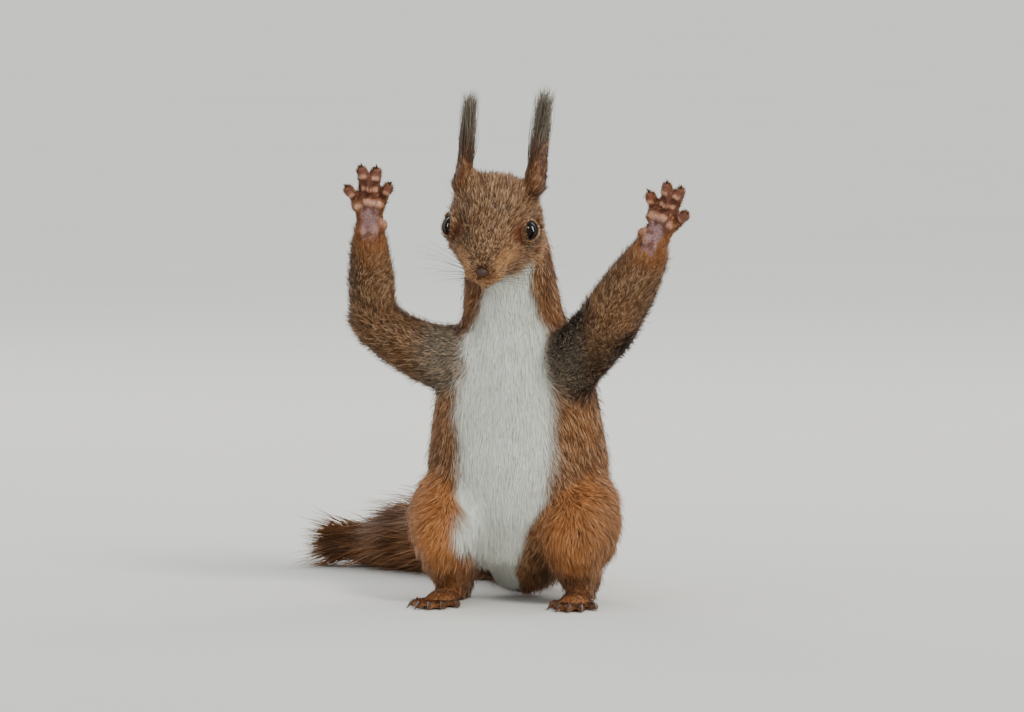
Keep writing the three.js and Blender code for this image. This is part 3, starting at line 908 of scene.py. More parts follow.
for side in SIDES:
    away = np.linalg.norm(points - hand[side][0], axis=1) / MM
    wrist = np.maximum(wrist, share_of("forearm", "hand") * fade(away, *WRIST_REACH))
inner_arm = share_of("upper_arm") * smooth_step(facing, 0.0, 0.6) * fade(np.abs(trunk_x), 27, 38)
print("orange on the face:", round(float((orange_face * on_head).sum() / on_head.sum()), 2))

# %% [markdown]
# The palms are bare: a mauve middle, pale pads at the roots of the fingers and at the heel of the hand, a
# stub of a thumb, and ringed pads up each finger. The hand's own directions (thumb, palm, fingers) say
# where they are. The pads swell and the clefts between the fingers sink by a fraction of a millimetre.

# %% The sizes of pads and folds
PADS = ((3.9, 0.7, 10.8), (-0.3, 0.7, 11.3), (-4.7, 0.7, 10.0), (2.3, 1.3, 0.6), (-3.2, 1.3, 0.0))
PAD_REACH = (0.8, 3.0)
PAD_RAISED = 0.3 * MM
KNUCKLE_FIRST = 2.2
KNUCKLE_PITCH = 5.0
KNUCKLE_RAISED = 0.28 * MM
CLEFT_REACH = (1.1, 2.0)
FOLD_ROUNDS = 14
THUMB_AT = np.array([5.6, 0.2, 2.6])
THUMB_HALF = np.array([2.6, 2.6, 3.5])
FINGERS_FAN = np.array([0.6, 0, 0.5])


def blob(places, centre, low, high):
    return fade(np.linalg.norm(places - np.array(centre), axis=1), low, high)


def below_fingertip(side, in_hand):
    """How far a place lies below the tip of the finger nearest to it, and how far to that finger's side."""
    origin, rows = hand[side]
    nearest = np.full(len(in_hand), 1e9)
    below_tip = np.zeros(len(in_hand))
    for k in range(2, 6):
        claw = cad_points(f"claw_hand_{side}_{k}")
        root_of_claw = far_end(f"claw_hand_{side}_{k}", claw[np.argmax((claw - origin) @ rows[2])])
        finger_tip = (root_of_claw - origin) @ rows.T / MM
        finger_way = unit(finger_tip * FINGERS_FAN)
        below = (finger_tip - in_hand) @ finger_way
        aside = np.abs((finger_tip - in_hand) @ np.cross(finger_way, [0, 1, 0]))
        below_tip = np.where(aside < nearest, below, below_tip)
        nearest = np.minimum(nearest, aside)
    return below_tip, nearest


print(len(PADS), "pads on each palm")

# %% Bare palms, pads and soles
bare = np.zeros(len(points))
pad = np.zeros(len(points))
palm = np.zeros(len(points))
knuckle_fold_shade = np.zeros(len(points))
for side in SIDES:
    origin, rows = hand[side]
    in_hand = (points - origin) @ rows.T / MM
    thumb, along = in_hand[:, 0], in_hand[:, 2]
    on_hand = share_of(f"hand_{side}", f"forearm_{side}")
    to_palm = skin_normal @ rows[1]
    column = fade(np.abs(thumb), 3.0, 4.8) * smooth_step(to_palm, 0.1, 0.5)
    column *= smooth_step(along, -6.5, -3.0)
    stub = blob(in_hand / THUMB_HALF, THUMB_AT / THUMB_HALF, 0.75, 1.1)
    fingers = smooth_step(along, 9.5, 12.5) * (0.1 + 0.85 * smooth_step(to_palm, -0.3, 0.4))
    pads = np.max([blob(in_hand, place, *PAD_REACH) for place in PADS], axis=0)
    below_tip, aside = below_fingertip(side, in_hand)
    on_finger = on_hand * smooth_step(along, 7.5, 10.0)
    cleft = smooth_step(aside, *CLEFT_REACH)
    knuckles = np.cos((below_tip - KNUCKLE_FIRST) / KNUCKLE_PITCH * 2 * math.pi)
    knuckles = on_finger * (knuckles * (1 - cleft) - cleft) * (0.35 + 0.65 * smooth_step(to_palm, -0.4, 0.3))
    pads *= smooth_step(to_palm, -0.1, 0.45)
    palm = np.maximum(palm, on_hand * column * (1 - fingers))
    pad = np.maximum(pad, on_hand * np.maximum(pads, stub) * 0.6)
    pad = np.maximum(pad, smooth_step(knuckles, 0.1, 0.9) * smooth_step(to_palm, 0.1, 0.8))
    # Painted shade: the dips between the pads and the clefts between the fingers are marked to be darkened.
    knuckle_fold_shade = np.maximum(knuckle_fold_shade, smooth_step(-knuckles, 0.25, 0.9))
    bare = np.maximum(bare, on_hand * np.max([column, stub, fingers, pads], axis=0))
    points = points + skin_normal * (PAD_RAISED * on_hand * pads + KNUCKLE_RAISED * knuckles)[:, None]
    sole = share_of(f"foot_{side}") * smooth_step(skin_normal @ DOWN, 0.35, 0.75)
    bare = np.maximum(bare, sole)
    pad = np.maximum(pad, 0.5 * sole)

# Where the skin lies deeper than its surroundings there is a fold. It is darkened later with painted shade,
# as are the dips between the pads of a finger.
bulge = ((points - relaxed(points, edges, FOLD_ROUNDS)) * skin_normal).sum(1) / MM
fold = np.maximum(smooth_step(-bulge, 0.02, 0.2), 0.8 * knuckle_fold_shade)
print("folds:", int((fold * bare > 0.5).sum()), "points of bare skin")

# %% [markdown]
# Each mark is a number from 0 to 1 at every point: `pale`, `bright`, `dusk`, `brow`, `grey` and `ring` say
# which colour shows, `grizzle` how much the single hairs differ, and `bare`, `pad`, `palm`, `fold` and
# `mouth` are for the skin: `fold` paints shade into folds, and `mouth` darkens the mouth's line with
# lip colour and painted shade. One list of sums keeps them together, so that two of them can be compared.

# %% All marks together
head_top = on_head * (1 - orange_face)
thigh_front = leg_top * smooth_step(facing, -0.2, 0.7) * fade(np.abs(trunk_x), 24, 40)
outer_thigh = leg_top * smooth_step(np.abs(trunk_x), 24, 36)
chin_free = fade(head_z, -15, -11)
marks = {
    "pale": (body + leg_top) * belly + on_head * throat,
    "bright": (
        on_head * orange_face + thigh_front * 0.55 * smooth_step(height, 12, 34)
        + share_of("hand", "foot") * 0.25 + wrist * 0.3 + body * 0.1 + leg_top * 0.2
    ),
    "dusk": (
        0.75 * head_top * smooth_step(head_z, -16, -4) + 0.85 * arm * (1 - 0.7 * wrist)
        + 0.5 * share_of("tail") + 0.35 * share_of("shank") + 0.55 * share_of("ear")
        + 0.3 * body + 0.25 * outer_thigh
    ),
    "brow": on_head * patch + 0.5 * share_of("ear") + 0.35 * wrist,
    "grey": inner_arm,
    "ring": on_head * np.maximum(ring, 0.4 * flank + 0.5 * low_face * chin_free),
    "grizzle": (
        (on_head + 0.35 * arm + 0.35 * share_of("trunk", "neck", "ear", "hand", "foot") + 0.35)
        * (1 - 0.85 * patch) * (1 - 0.6 * wrist)
    ),
    "fold": fold,
    "bare": bare,
    "pad": pad,
    "palm": palm,
    "mouth": mouth_share(head_places) * on_head,
}
marks = {name: np.clip(values, 0, 1) for name, values in marks.items()}
print({name: round(float(values.mean()), 3) for name, values in marks.items()})

# %% [markdown]
# ## The finish of skin and hair
#
# Skin and hair share one recipe of colours, driven by the same marks, so the white belly is white on
# both. Noise in two sizes keeps any shade from lying flat, and its place is that of the hair's root, so a
# hair has one shade all along and matches the skin it grows from.

# %% Colours of the animal
RUST = colour(142, 88, 42)
BRIGHT = colour(196, 124, 62)
UMBER = colour(112, 56, 18)
DUSK = colour(98, 68, 38)
GREY = colour(112, 104, 90)
CREAM = colour(222, 182, 128)
WHITE = colour(230, 234, 224)
TUFT = colour(118, 110, 94)
PINK = colour(222, 170, 138)
RUDDY = colour(140, 86, 60)
MAUVE = colour(162, 126, 124)
CREASE = colour(120, 92, 84)
LIP_AND_CREASE_SHADE = colour(70, 40, 34)
FOLD_SHADE = colour(92, 48, 32)
TAN = colour(226, 186, 144)
ROOT_SHADOW = colour(146, 132, 124)
DARK_HAIR = colour(66, 52, 42)


print("rust in linear light:", [round(value, 3) for value in RUST])


# %% One recipe for skin and hair
def mark(wires, name):
    return wires.node("ShaderNodeAttribute", {"attribute_name": name}, out="Fac")


def noise(wires, scale, detail=2.0):
    """Noise that is fixed to the skin: a hair takes it from the place of its root."""
    place = wires.node("ShaderNodeAttribute", {"attribute_name": "root"}, out="Vector")
    inputs = {"Vector": place, "Scale": scale, "Detail": detail}
    return wires.node("ShaderNodeTexNoise", {"noise_dimensions": "3D"}, inputs)


def coat_colour(wires):
    """The colour of the coat, before root, tip and single hairs are told apart."""
    broad = noise(wires, 55.0).between(0.35, 0.65)
    fine = noise(wires, 420.0).between(0.3, 0.7)
    ragged = noise(wires, 260.0) * 0.6 + 0.7
    shade = (broad * 0.25 + fine * 0.25).mix(RUST, BRIGHT)
    shade = ((1 - broad) * 0.4).mix(shade, DUSK)
    shade = (mark(wires, "dusk") * (fine * 0.6 + 0.55)).mix(shade, DUSK)
    shade = (mark(wires, "bright") * ragged).mix(shade, BRIGHT)
    shade = (mark(wires, "brow") * ragged).mix(shade, UMBER)
    shade = (mark(wires, "grey") * ragged).mix(shade, GREY)
    shade = (mark(wires, "ring") * ragged).mix(shade, CREAM)
    return (mark(wires, "pale") * ragged).mix(shade, WHITE)


print("recipe ready")

# %% [markdown]
# A hair is darker at its root, partly its own colour and partly painted shade from the coat around it; the
# painted shade is weaker on the white belly. In this coat some hairs are dark all along while others end in
# a pale tip. That mixture is what makes a wild coat look grizzled. The ear tufts turn to grey-brown.


# %% Hair
def hair_material(name, light_tips=0.5, end=None):
    """Hair with lightened tips, or with its outer part in another colour."""
    material, wires = new_material(name)
    along = mark(wires, "along")
    one = mark(wires, "chance")
    shade = coat_colour(wires)
    if end:
        shade = along.between(0.1, 0.5).mix(shade, end)
    grizzle = mark(wires, "grizzle")
    tinted = 1 - mark(wires, "pale") * 0.75
    # Painted shade: each hair darkens towards its root, as if the coat around it shaded it, less on the
    # white belly.
    shade = ((1 - along.between(0.0, 0.75)) * 0.9 * tinted).mix(shade, ROOT_SHADOW, "MULTIPLY")
    dark_ones = (1 - one.between(0.1, 0.4)) * (grizzle * 0.8 + 0.15)
    shade = (dark_ones * tinted).mix(shade, DARK_HAIR, "MULTIPLY")
    lightened = along.between(0.25, 0.8) * one.between(0.62, 0.88) * (1 - mark(wires, "pale"))
    shade = (lightened * grizzle * light_tips).mix(shade, TAN)
    inputs = {"Base Color": shade, "Roughness": 0.6, "Specular IOR Level": 0.3, "Sheen Weight": 0.1}
    finish_material(wires, inputs)
    return material


coat_finish = hair_material("coat_hair", light_tips=0.75)
face_finish = hair_material("face_hair", light_tips=0.85)
tail_finish = hair_material("tail_hair", light_tips=0.4)
tuft_finish = hair_material("ear_tuft_hair", light_tips=0.25, end=TUFT)
print("hair finishes:", [finish.name for finish in (coat_finish, face_finish, tail_finish, tuft_finish)])

# %% [markdown]
# The skin under the coat is the dark under-fur, darkened further with painted shade as if the coat shaded
# it.
# Where it is bare it is pink or mauve, cut into tiny scales and creases, which also feed a bump. The solids
# of the flesh are replaced here, all by this one piece.

# %% Skin
skin_finish, wires = new_material("skin")
bare_skin = mark(wires, "bare")
creases = noise(wires, 900.0, 4.0)
flush = noise(wires, 160.0).between(0.3, 0.7)
pink = mark(wires, "palm").mix(RUDDY, MAUVE)
pink = mark(wires, "pad").mix(pink, PINK)
pink = (flush * 0.4).mix(pink, CREASE, "MULTIPLY")
# Painted shade: folds and the dips between pads are darkened towards a deep brown.
pink = (mark(wires, "fold") * 0.75).mix(pink, FOLD_SHADE)
place = wires.node("ShaderNodeAttribute", {"attribute_name": "root"}, out="Vector")
inputs = {"Vector": place, "Scale": 950.0}
scales = wires.node("ShaderNodeTexVoronoi", {"feature": "DISTANCE_TO_EDGE"}, inputs)
pink = ((1 - scales.between(0.0, 0.22)) * 0.5).mix(pink, CREASE, "MULTIPLY")
# Painted shade: the skin under the coat is multiplied darker, as hair would shade it, less on the white
# belly.
under_fur_and_shade = (noise(wires, 700.0) * 0.5 + 0.4) * (1 - mark(wires, "pale") * 0.7)
under_fur_and_shade = under_fur_and_shade.mix(coat_colour(wires), ROOT_SHADOW, "MULTIPLY")
shade = bare_skin.mix(under_fur_and_shade, pink)
# The mouth's line and the groove up to the nose are darkened: partly the lips' own dark skin, partly painted
# shade in the crease.
shade = (mark(wires, "mouth") * 0.85).mix(shade, LIP_AND_CREASE_SHADE)
relief = creases + scales.between(0.0, 0.3) * 0.8
grain = wires.node("ShaderNodeBump", None, {"Strength": 0.6, "Distance": 0.35 * MM, "Height": relief})
roughness = 0.75 - bare_skin * 0.2
inputs = {"Base Color": shade, "Roughness": roughness, "Normal": grain, "Specular IOR Level": 0.35}
finish_material(wires, inputs)

skin = new_object("skin", points, triangles, skin_finish)
still = {"root": points, "along": np.zeros(len(points)), "chance": np.full(len(points), 0.5)}
set_marks(skin, {**marks, **still})
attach(skin, BODY)
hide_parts(*flesh)
print("skin made:", len(triangles), "triangles")

# %% [markdown]
# ## Growing the coat
#
# Particle hair would be the quick way, but it can't be kept as a mesh of so few triangles. So each hair
# is built as a narrow blade of three triangles, or five on the tail. It leaves the skin at its root,
# rises by the depth of the coat and then lies along the body. First its length, width and rise are set
# over the skin: shortest round the eyes and on the muzzle, longest on the tail.

# %% Lengths over the skin
RISE_OVER_DEPTH = 1.05
hair_length = shares @ LENGTH
hair_width = shares @ WIDTH
hair_lock = shares @ LOCK
hair_rise = shares @ DEPTH * RISE_OVER_DEPTH
near_eye = np.zeros(len(points))
in_opening = np.zeros(len(points))
ear_root = np.zeros(len(points))
for side in SIDES:
    distance, share = opening_share(points, side)
    close = distance < SOCKET_REACH * EYE_RADIUS
    near_eye = np.maximum(near_eye, close * fade(share, 1.15, 2.0))
    in_opening = np.maximum(in_opening, close * (share < 1.1))
    up_ear = (points[:, 2] - ear_foot[side]) / ear_tall[side]
    ear_root += share_of(f"ear_{side}") * fade(up_ear, 0.1, 0.5)
muzzle = on_head * fade(head_y, -19, -5)
crown = on_head * smooth_step(head_z, 5, 12) * smooth_step(head_y, -8, 4)
behind_arm = arm * smooth_step(-facing, -0.2, 0.6)

# Shares taken off the length and the rise.
for place, shorter, flatter in ((muzzle, 0.5, 0.55), (near_eye, 0.62, 0.75)):
    hair_length *= 1 - shorter * place
    hair_rise *= 1 - flatter * place
# Millimetres added to them.
for place, longer, fuller in ((crown, 1.2, 0.9), (behind_arm, 1.6, 0), (ear_root, 1.6, 0.3)):
    hair_length += longer * place
    hair_rise += fuller * place
# The white hair is finer and lies flatter, and the backs of hands and feet keep a thin fringe.
hair_length -= 0.6 * marks["pale"] * body
hair_width -= 0.05 * marks["pale"] * body
hair_rise *= 1 - 0.5 * marks["pale"]
hair_rise = np.maximum(hair_rise, 0.55 * share_of("hand", "foot"))
off_tail = hair_length[share_of("tail") < 0.05]
print("off the tail, hair from", round(off_tail.min(), 1), "to", round(off_tail.max(), 1), "mm")

# %% Lengths on the tail
TAIL_NEAR_TIP = 0.75
TAIL_ROOT_LENGTH, TAIL_ADDED_LENGTH = 9, 16
TAIL_ROOT_RISE, TAIL_ADDED_RISE, TAIL_TIP_DROP = 2.6, 9.4, 9.2
tail_hair = share_of("tail")
out_of_core = smooth_step(along_tail(points), TAIL_START, TAIL_START + TAIL_EASE)
tail_end = TAIL_START + (TAIL_END - TAIL_START) * TAIL_SHORT
near_tip = smooth_step(along_tail(points), tail_end - TAIL_NEAR_TIP, tail_end)
tail_length = TAIL_ROOT_LENGTH + TAIL_ADDED_LENGTH * out_of_core
tail_rise = TAIL_ROOT_RISE + TAIL_ADDED_RISE * out_of_core - TAIL_TIP_DROP * near_tip
hair_length = hair_length * (1 - tail_hair) + tail_hair * tail_length
hair_rise = hair_rise * (1 - tail_hair) + tail_hair * tail_rise
bareness = np.clip(marks["bare"] + in_opening + marks["mouth"] * 0.8, 0, 1)
print("hair up to", round(hair_length.max(), 1), "mm long on the tail")

# %% [markdown]
# Roots are scattered at random over the triangles, by area and by how dense the coat is there. Any value
# of the skin can then be read at a root from the three corners around it. A slow noise, a sum of a few
# random waves, is used to turn whole groups of hairs a little to the side.

# %% Noise and roots
WAVES = 7
WAVE_HEIGHT = 3.2


def slow_noise(places, scale, seed):
    """A smooth number from about -1 to 1 for each place, from a few random waves."""
    waves = np.random.default_rng(seed)
    total = np.zeros(len(places))
    for _ in range(WAVES):
        direction = unit(waves.normal(size=3))
        pitch = waves.uniform(0.6, 1.6)
        start = waves.uniform(0, 2 * math.pi)
        total += np.sin(places @ direction / (scale * MM) * pitch + start)
    return total / WAVE_HEIGHT


def scatter(density, count):
    """Random roots: the triangle of each, and its three weights."""
    corners = points[triangles]
    area = np.linalg.norm(np.cross(corners[:, 1] - corners[:, 0], corners[:, 2] - corners[:, 0]), axis=1)
    share = area * density[triangles].mean(1)
    face = chance.choice(len(triangles), count, p=share / share.sum())
    first, second = chance.random((2, count))
    over = first + second > 1
    first[over] = 1 - first[over]
    second[over] = 1 - second[over]
    return face, np.stack([1 - first - second, first, second], 1)


def at_roots(values, face, weights):
    picked = values[triangles[face]]
    if picked.ndim == 2:
        return (picked * weights).sum(1)
    return (picked * weights[:, :, None]).sum(1)


print("slow noise at the nose:", round(float(slow_noise(nose_top[None], 9.0, 6)[0]), 2))

# %% [markdown]
# A blade is a strip of point pairs along a path, ending in one point. Its faces turn at random about its
# length, but its shading mostly follows the skin below, as a real coat's does, so that it looks soft and
# not like cut paper. Every blade is a tiny patch of the texture map, at its root's place on the unwrapped
# skin.

# %% Blades
FLOOR_CLEAR = 0.15 * MM
PATCH = 0.003
ROLL = 0.7
SKIN_SHADING = 0.8
ROOT_WIDTH = 0.7
NARROWING = 0.35


def blade_faces(steps, count):
    """Triangles of blades: pairs of points up the length of each, and one at the tip."""
    one = []
    for low in range(0, 2 * steps - 2, 2):
        one += [(low, low + 1, low + 3), (low, low + 3, low + 2)]
    one.append((2 * steps - 2, 2 * steps - 1, 2 * steps))
    starts = np.arange(count) * (2 * steps + 1)
    return (np.array(one)[None] + starts[:, None, None]).reshape(-1, 3)


def paired(values):
    """Each row twice along a blade, left and right, and the last row once, at the tip."""
    return np.concatenate([np.repeat(values[:, :-1], 2, 1), values[:, -1:]], 1)


print("one blade of two steps has", len(blade_faces(2, 1)), "triangles")


# %% Blades into a mesh
def make_blades(name, paths, normal, width, unwrapped, rooted, material):
    """One mesh of blades. Paths are (hair, point, xyz) from root to tip."""
    count, steps = paths.shape[0], paths.shape[1] - 1
    share = np.arange(steps + 1) / steps
    outward = normal[:, None, :]
    run = unit(np.gradient(paths, axis=1))
    roll = chance.uniform(-ROLL, ROLL, (count, 1, 1))
    side = unit(unit(np.cross(run, outward)) * np.cos(roll) + outward * np.sin(roll))
    taper = np.append(1 - NARROWING * share[:-1], 0)
    taper[0] = ROOT_WIDTH
    half = (width[:, None] * taper / 2)[:, :, None]
    spots = paired(paths)
    offset = paired(side * half)
    spots[:, 0::2] -= offset[:, 0::2]
    spots[:, 1::2] += offset[:, 1::2]
    spots[:, :, 2] = np.maximum(spots[:, :, 2], FLOOR_CLEAR)
    per_hair = spots.shape[1]
    faces = blade_faces(steps, count)
    made = new_object(name, spots.reshape(-1, 3), faces, material)
    shading = unit(SKIN_SHADING * outward + (1 - SKIN_SHADING) * unit(np.cross(side, run)))
    made.data.normals_split_custom_set_from_vertices(paired(shading).reshape(-1, 3).astype(np.float32))
    upward = np.append(np.repeat(share[:-1], 2), 1.0)
    values = {key: np.repeat(each, per_hair, 0) for key, each in rooted.items()}
    values["along"] = np.tile(upward, count)
    set_marks(made, values)
    across = np.append(np.tile([-0.5, 0.5], steps), 0.0)
    patch_uv = np.stack([across, upward - 0.5], 1) * PATCH
    uv = (PATCH + (1 - 2 * PATCH) * unwrapped)[:, None, :] + patch_uv[None]
    layer = made.data.uv_layers.new(name="OFBake")
    layer.uv.foreach_set("vector", uv.reshape(-1, 2)[faces.ravel()].astype(np.float32).ravel())
    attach(made, BODY)
    print(name, count, "hairs,", len(made.data.polygons), "triangles")
    return made


print("a blade narrows to", 1 - NARROWING, "of its width below the tip")

# %% [markdown]
# Near hairs are drawn towards one tip, which makes locks, small on the face and larger on the body. A few
# strays stand off and are longer. Length, rise, turn and pull each get their own random share, and a long
# hair of the tail also bends round with it.

# %% Locks
HAIRS_IN_A_LOCK = 9
HAIRS_IN_A_FINE_LOCK = 5


def leader_of(root, in_a_lock):
    """For each hair, the nearest of the few hairs that lead a lock."""
    leaders = chance.choice(len(root), max(len(root) // in_a_lock, 1), replace=False)
    tree = KDTree(len(leaders))
    for k, leader in enumerate(leaders):
        tree.insert(root[leader], k)
    tree.balance()
    return leaders[[tree.find(place)[1] for place in root]]


print("locks of", HAIRS_IN_A_LOCK, "and", HAIRS_IN_A_FINE_LOCK, "hairs")

# %% One piece of coat
ROOT_SUNK = 0.15 * MM
SKIN_ONLY = ("pad", "palm", "mouth", "fold")
STRAY_PER_DEGREE = 0.0062
STRAY_LONGER = 0.3
STRAY_HIGHER = 0.8
LIGHT_HAIR = 0.8
LIGHT_WIDER = 0.45
LIKE_ITS_LOCK = 0.4
CALM_BELLY = 0.6
STEEPEST = 0.8
FARTHEST_PULL = 0.5
SPREAD = {"length": (0.7, 1.2), "rise": (0.45, 1.15), "pull": (0.4, 1.4), "width": (0.7, 1.25)}
SWAYS = ((22, 3.2, 5), (14, 9.0, 6))


def grow(name, density, count, unwrap, material, steps=2, spread=9):
    face, weights = scatter(density * (1 - bareness), count)
    root = at_roots(points, face, weights)
    normal = unit(at_roots(soft_normal, face, weights))
    fine = name.startswith(("coat_head", "coat_arm", "coat_ear"))
    leader = leader_of(root, HAIRS_IN_A_FINE_LOCK if fine else HAIRS_IN_A_LOCK)
    one = chance.random(count)
    one = np.where(chance.random(count) < LIKE_ITS_LOCK, one[leader], one)
    stray = chance.random(count) < STRAY_PER_DEGREE * spread
    length = at_roots(hair_length, face, weights) * chance.uniform(*SPREAD["length"], count)
    length = length * (1 + STRAY_LONGER * stray) * MM
    rise = at_roots(hair_rise, face, weights) * chance.uniform(*SPREAD["rise"], count)
    rise = np.minimum(rise * (1 + STRAY_HIGHER * stray) * MM, length * STEEPEST)
    turn = sum(math.radians(degrees) * slow_noise(root, scale, seed) for degrees, scale, seed in SWAYS)
    turn += np.radians(chance.normal(0, spread, count))
    turn *= 1 - CALM_BELLY * at_roots(marks["pale"], face, weights)
    lying = unit(across_to(normal, at_roots(lie, face, weights)))
    lying = lying * np.cos(turn)[:, None] + np.cross(normal, lying) * np.sin(turn)[:, None]
    reach = np.sqrt(length**2 - rise**2)
    tip = root + lying * reach[:, None] + normal * rise[:, None]
    pull = tip[leader] - tip
    pull *= (at_roots(hair_lock, face, weights) * chance.uniform(*SPREAD["pull"], count))[:, None]
    far = np.maximum(np.linalg.norm(pull, axis=1), 1e-9)
    pull *= np.minimum(1, FARTHEST_PULL * length / far)[:, None]
    inward = (tail_turn - root) * [1, 1, 0] if name.startswith("coat_tail") else np.zeros_like(root)
    radius = np.maximum(np.linalg.norm(inward, axis=1), 1e-9)
    inward = inward / radius[:, None]
    paths = []
    for share in np.linspace(0, 1, steps + 1):
        forward = lying * (reach * share)[:, None]
        forward += inward * (np.minimum(reach * share, radius) ** 2 / (2 * radius))[:, None]
        up = normal * (rise * share * (2 - share) - ROOT_SUNK)[:, None]
        paths.append(root + forward + up + pull * share**2)
    width = at_roots(hair_width, face, weights) * chance.uniform(*SPREAD["width"], count) * MM
    width *= 1 + LIGHT_WIDER * (one > LIGHT_HAIR)
    rooted = {key: at_roots(each, face, weights) for key, each in marks.items() if key not in SKIN_ONLY}
    rooted |= {"root": root, "chance": one}
    return make_blades(name, np.stack(paths, 1), normal, width, unwrap(root), rooted, material)


print("groups of hair sway by up to", sum(degrees for degrees, scale, seed in SWAYS), "degrees or so")

# %% [markdown]
# Each piece of coat is unwrapped as a label is from a tin: the angle about its own long way is one
# direction of the map and the distance along it is the other. The tail's long way is its bent middle.


# %% Unwraps of the skin
def unwrap_round(places, origin, axis, front):
    """Angle about an axis and distance along it, both from 0 to 1."""
    axis = unit(axis)
    front = unit(across_to(axis, front))
    away = places - origin
    angle = np.arctan2(away @ np.cross(axis, front), away @ front) / (2 * math.pi) + 0.5
    along = away @ axis
    return np.stack([angle, (along - along.min()) / np.ptp(along)], 1)


def round_trunk(places):
    return unwrap_round(places, middle("trunk"), -DOWN, BACK)


def round_head(places):
    return unwrap_round(places, head_at - head_up * 6 * MM, -head_forward, -head_up)


def round_tail(places):
    core_at = tail_middle(places)
    away = places - core_at
    outward = unit(core_at - tail_turn)
    angle = np.arctan2(away[:, 2], (away * outward).sum(1)) / (2 * math.pi) + 0.5
    along = along_tail(places)
    return np.stack([angle, (along - along.min()) / np.ptp(along)], 1)


def round_limb(*names):
    """An unwrap about the long way of some nodes."""
    cloud = np.concatenate([cad_points(n) for n in names])
    centre = cloud.mean(0)
    axis = np.linalg.svd(cloud - centre, full_matrices=False)[2][0]
    return lambda places: unwrap_round(places, centre, axis, np.array([0.3, 1.0, 0.2]))


print("the head's map is centred at", round_head(cad_points("head")).mean(0).round(2))

# %% [markdown]
# The coat comes in pieces of fewer than 200,000 triangles. Each row of the table gives a piece's name, how
# dense it is over the skin, its number of hairs, its unwrap, its finish and how far its hairs stray from
# the common way, in degrees.

# %% Grow the pieces
front = smooth_step(facing, -0.12, 0.12)
COAT = [
    ("coat_head", on_head * (1 + 0.8 * muzzle), 66000, round_head, face_finish, 13),
    ("coat_neck", share_of("neck"), 27000, round_trunk, coat_finish, 9),
    ("coat_breast", share_of("trunk") * front, 48000, round_trunk, coat_finish, 8),
    ("coat_back", share_of("trunk") * (1 - front), 46000, round_trunk, coat_finish, 10),
]
for side in SIDES:
    arm_names = [f"upper_arm_{side}", f"forearm_{side}", f"hand_{side}"]
    leg_names = [f"thigh_{side}", f"shank_{side}", f"foot_{side}"]
    COAT += [
        (f"coat_ear_{side}", share_of(f"ear_{side}"), 10000, round_limb(f"ear_{side}"), coat_finish, 12),
        (f"coat_arm_{side}", share_of(*arm_names), 42000, round_limb(*arm_names), coat_finish, 26),
        (f"coat_leg_{side}", share_of(*leg_names), 36000, round_limb(*leg_names), coat_finish, 11),
    ]
for name, density, count, unwrap, material, spread in COAT:
    grow(name, density, count, unwrap, material, spread=spread)

TAIL_HAIRS = 37000
tail_far = smooth_step(along_tail(points), math.radians(40), math.radians(48))
for name, density in (("coat_tail_near", 1 - tail_far), ("coat_tail_far", tail_far)):
    made = grow(name, tail_hair * density, TAIL_HAIRS, round_tail, tail_finish, steps=3, spread=11)

# %% [markdown]
# ## Ear tufts
#
# The long hairs of a tuft grow from the upper part of the ear and carry on past its tip. Each one gets
# a root on the ear and an end inside the tuft's solid. The ends gather in loose wisps at every height,
# and each hair bends its own way, so the outline is frayed and light comes through between the wisps.

# %% Tufts
TUFT_HAIRS = 1300
TUFT_FROM = 0.4
TUFT_STEPS = 5
TUFT_LOCKS = 46
TUFT_FOOT = 0.55
TUFT_TOP = {"right": 1.14, "left": 1.3}
TUFT_OPEN = 1.75
TUFT_LOCK_SWAY = 0.45 * MM
TUFT_HAIR_SWAY = 0.5 * MM
TUFT_WIDTHS = (0.13, 0.26)
TUFT_ENDS = (1.6, 1.15)
TUFT_WITH_LOCK = (0.2, 0.9)


def two_ways_across(axis):
    first = unit(np.cross(axis, BACK))
    return first, np.cross(axis, first)


def in_a_disc(count):
    """Random places in a disc of radius 1."""
    turn = chance.uniform(0, 2 * math.pi, count)
    return np.stack([np.cos(turn), np.sin(turn)], 1) * np.sqrt(chance.random(count))[:, None]


def tuft_frame(side):
    """The ear's foot, the tuft's directions, its centre, its lowest and highest place, and its radius."""
    solid = cad_points(f"ear_tuft_{side}")
    ear_low = far_end(f"ear_{side}", solid.mean(0))
    top = far_end(f"ear_tuft_{side}", ear_low)
    axis = unit(top - far_end(f"ear_tuft_{side}", solid[np.argmax(solid[:, 2])]))
    first, second = two_ways_across(axis)
    spread = [(solid @ way).min() + np.ptp(solid @ way) / 2 for way in (first, second, axis)]
    centre = first * spread[0] + second * spread[1] + axis * spread[2]
    span = (solid - centre) @ axis
    radius = np.quantile(np.linalg.norm(across_to(axis, solid - centre), axis=1), 0.9)
    return ear_low, axis, first, second, centre, span.min(), span.max(), radius


print("left tuft points along", np.round(tuft_frame("left")[1], 2))


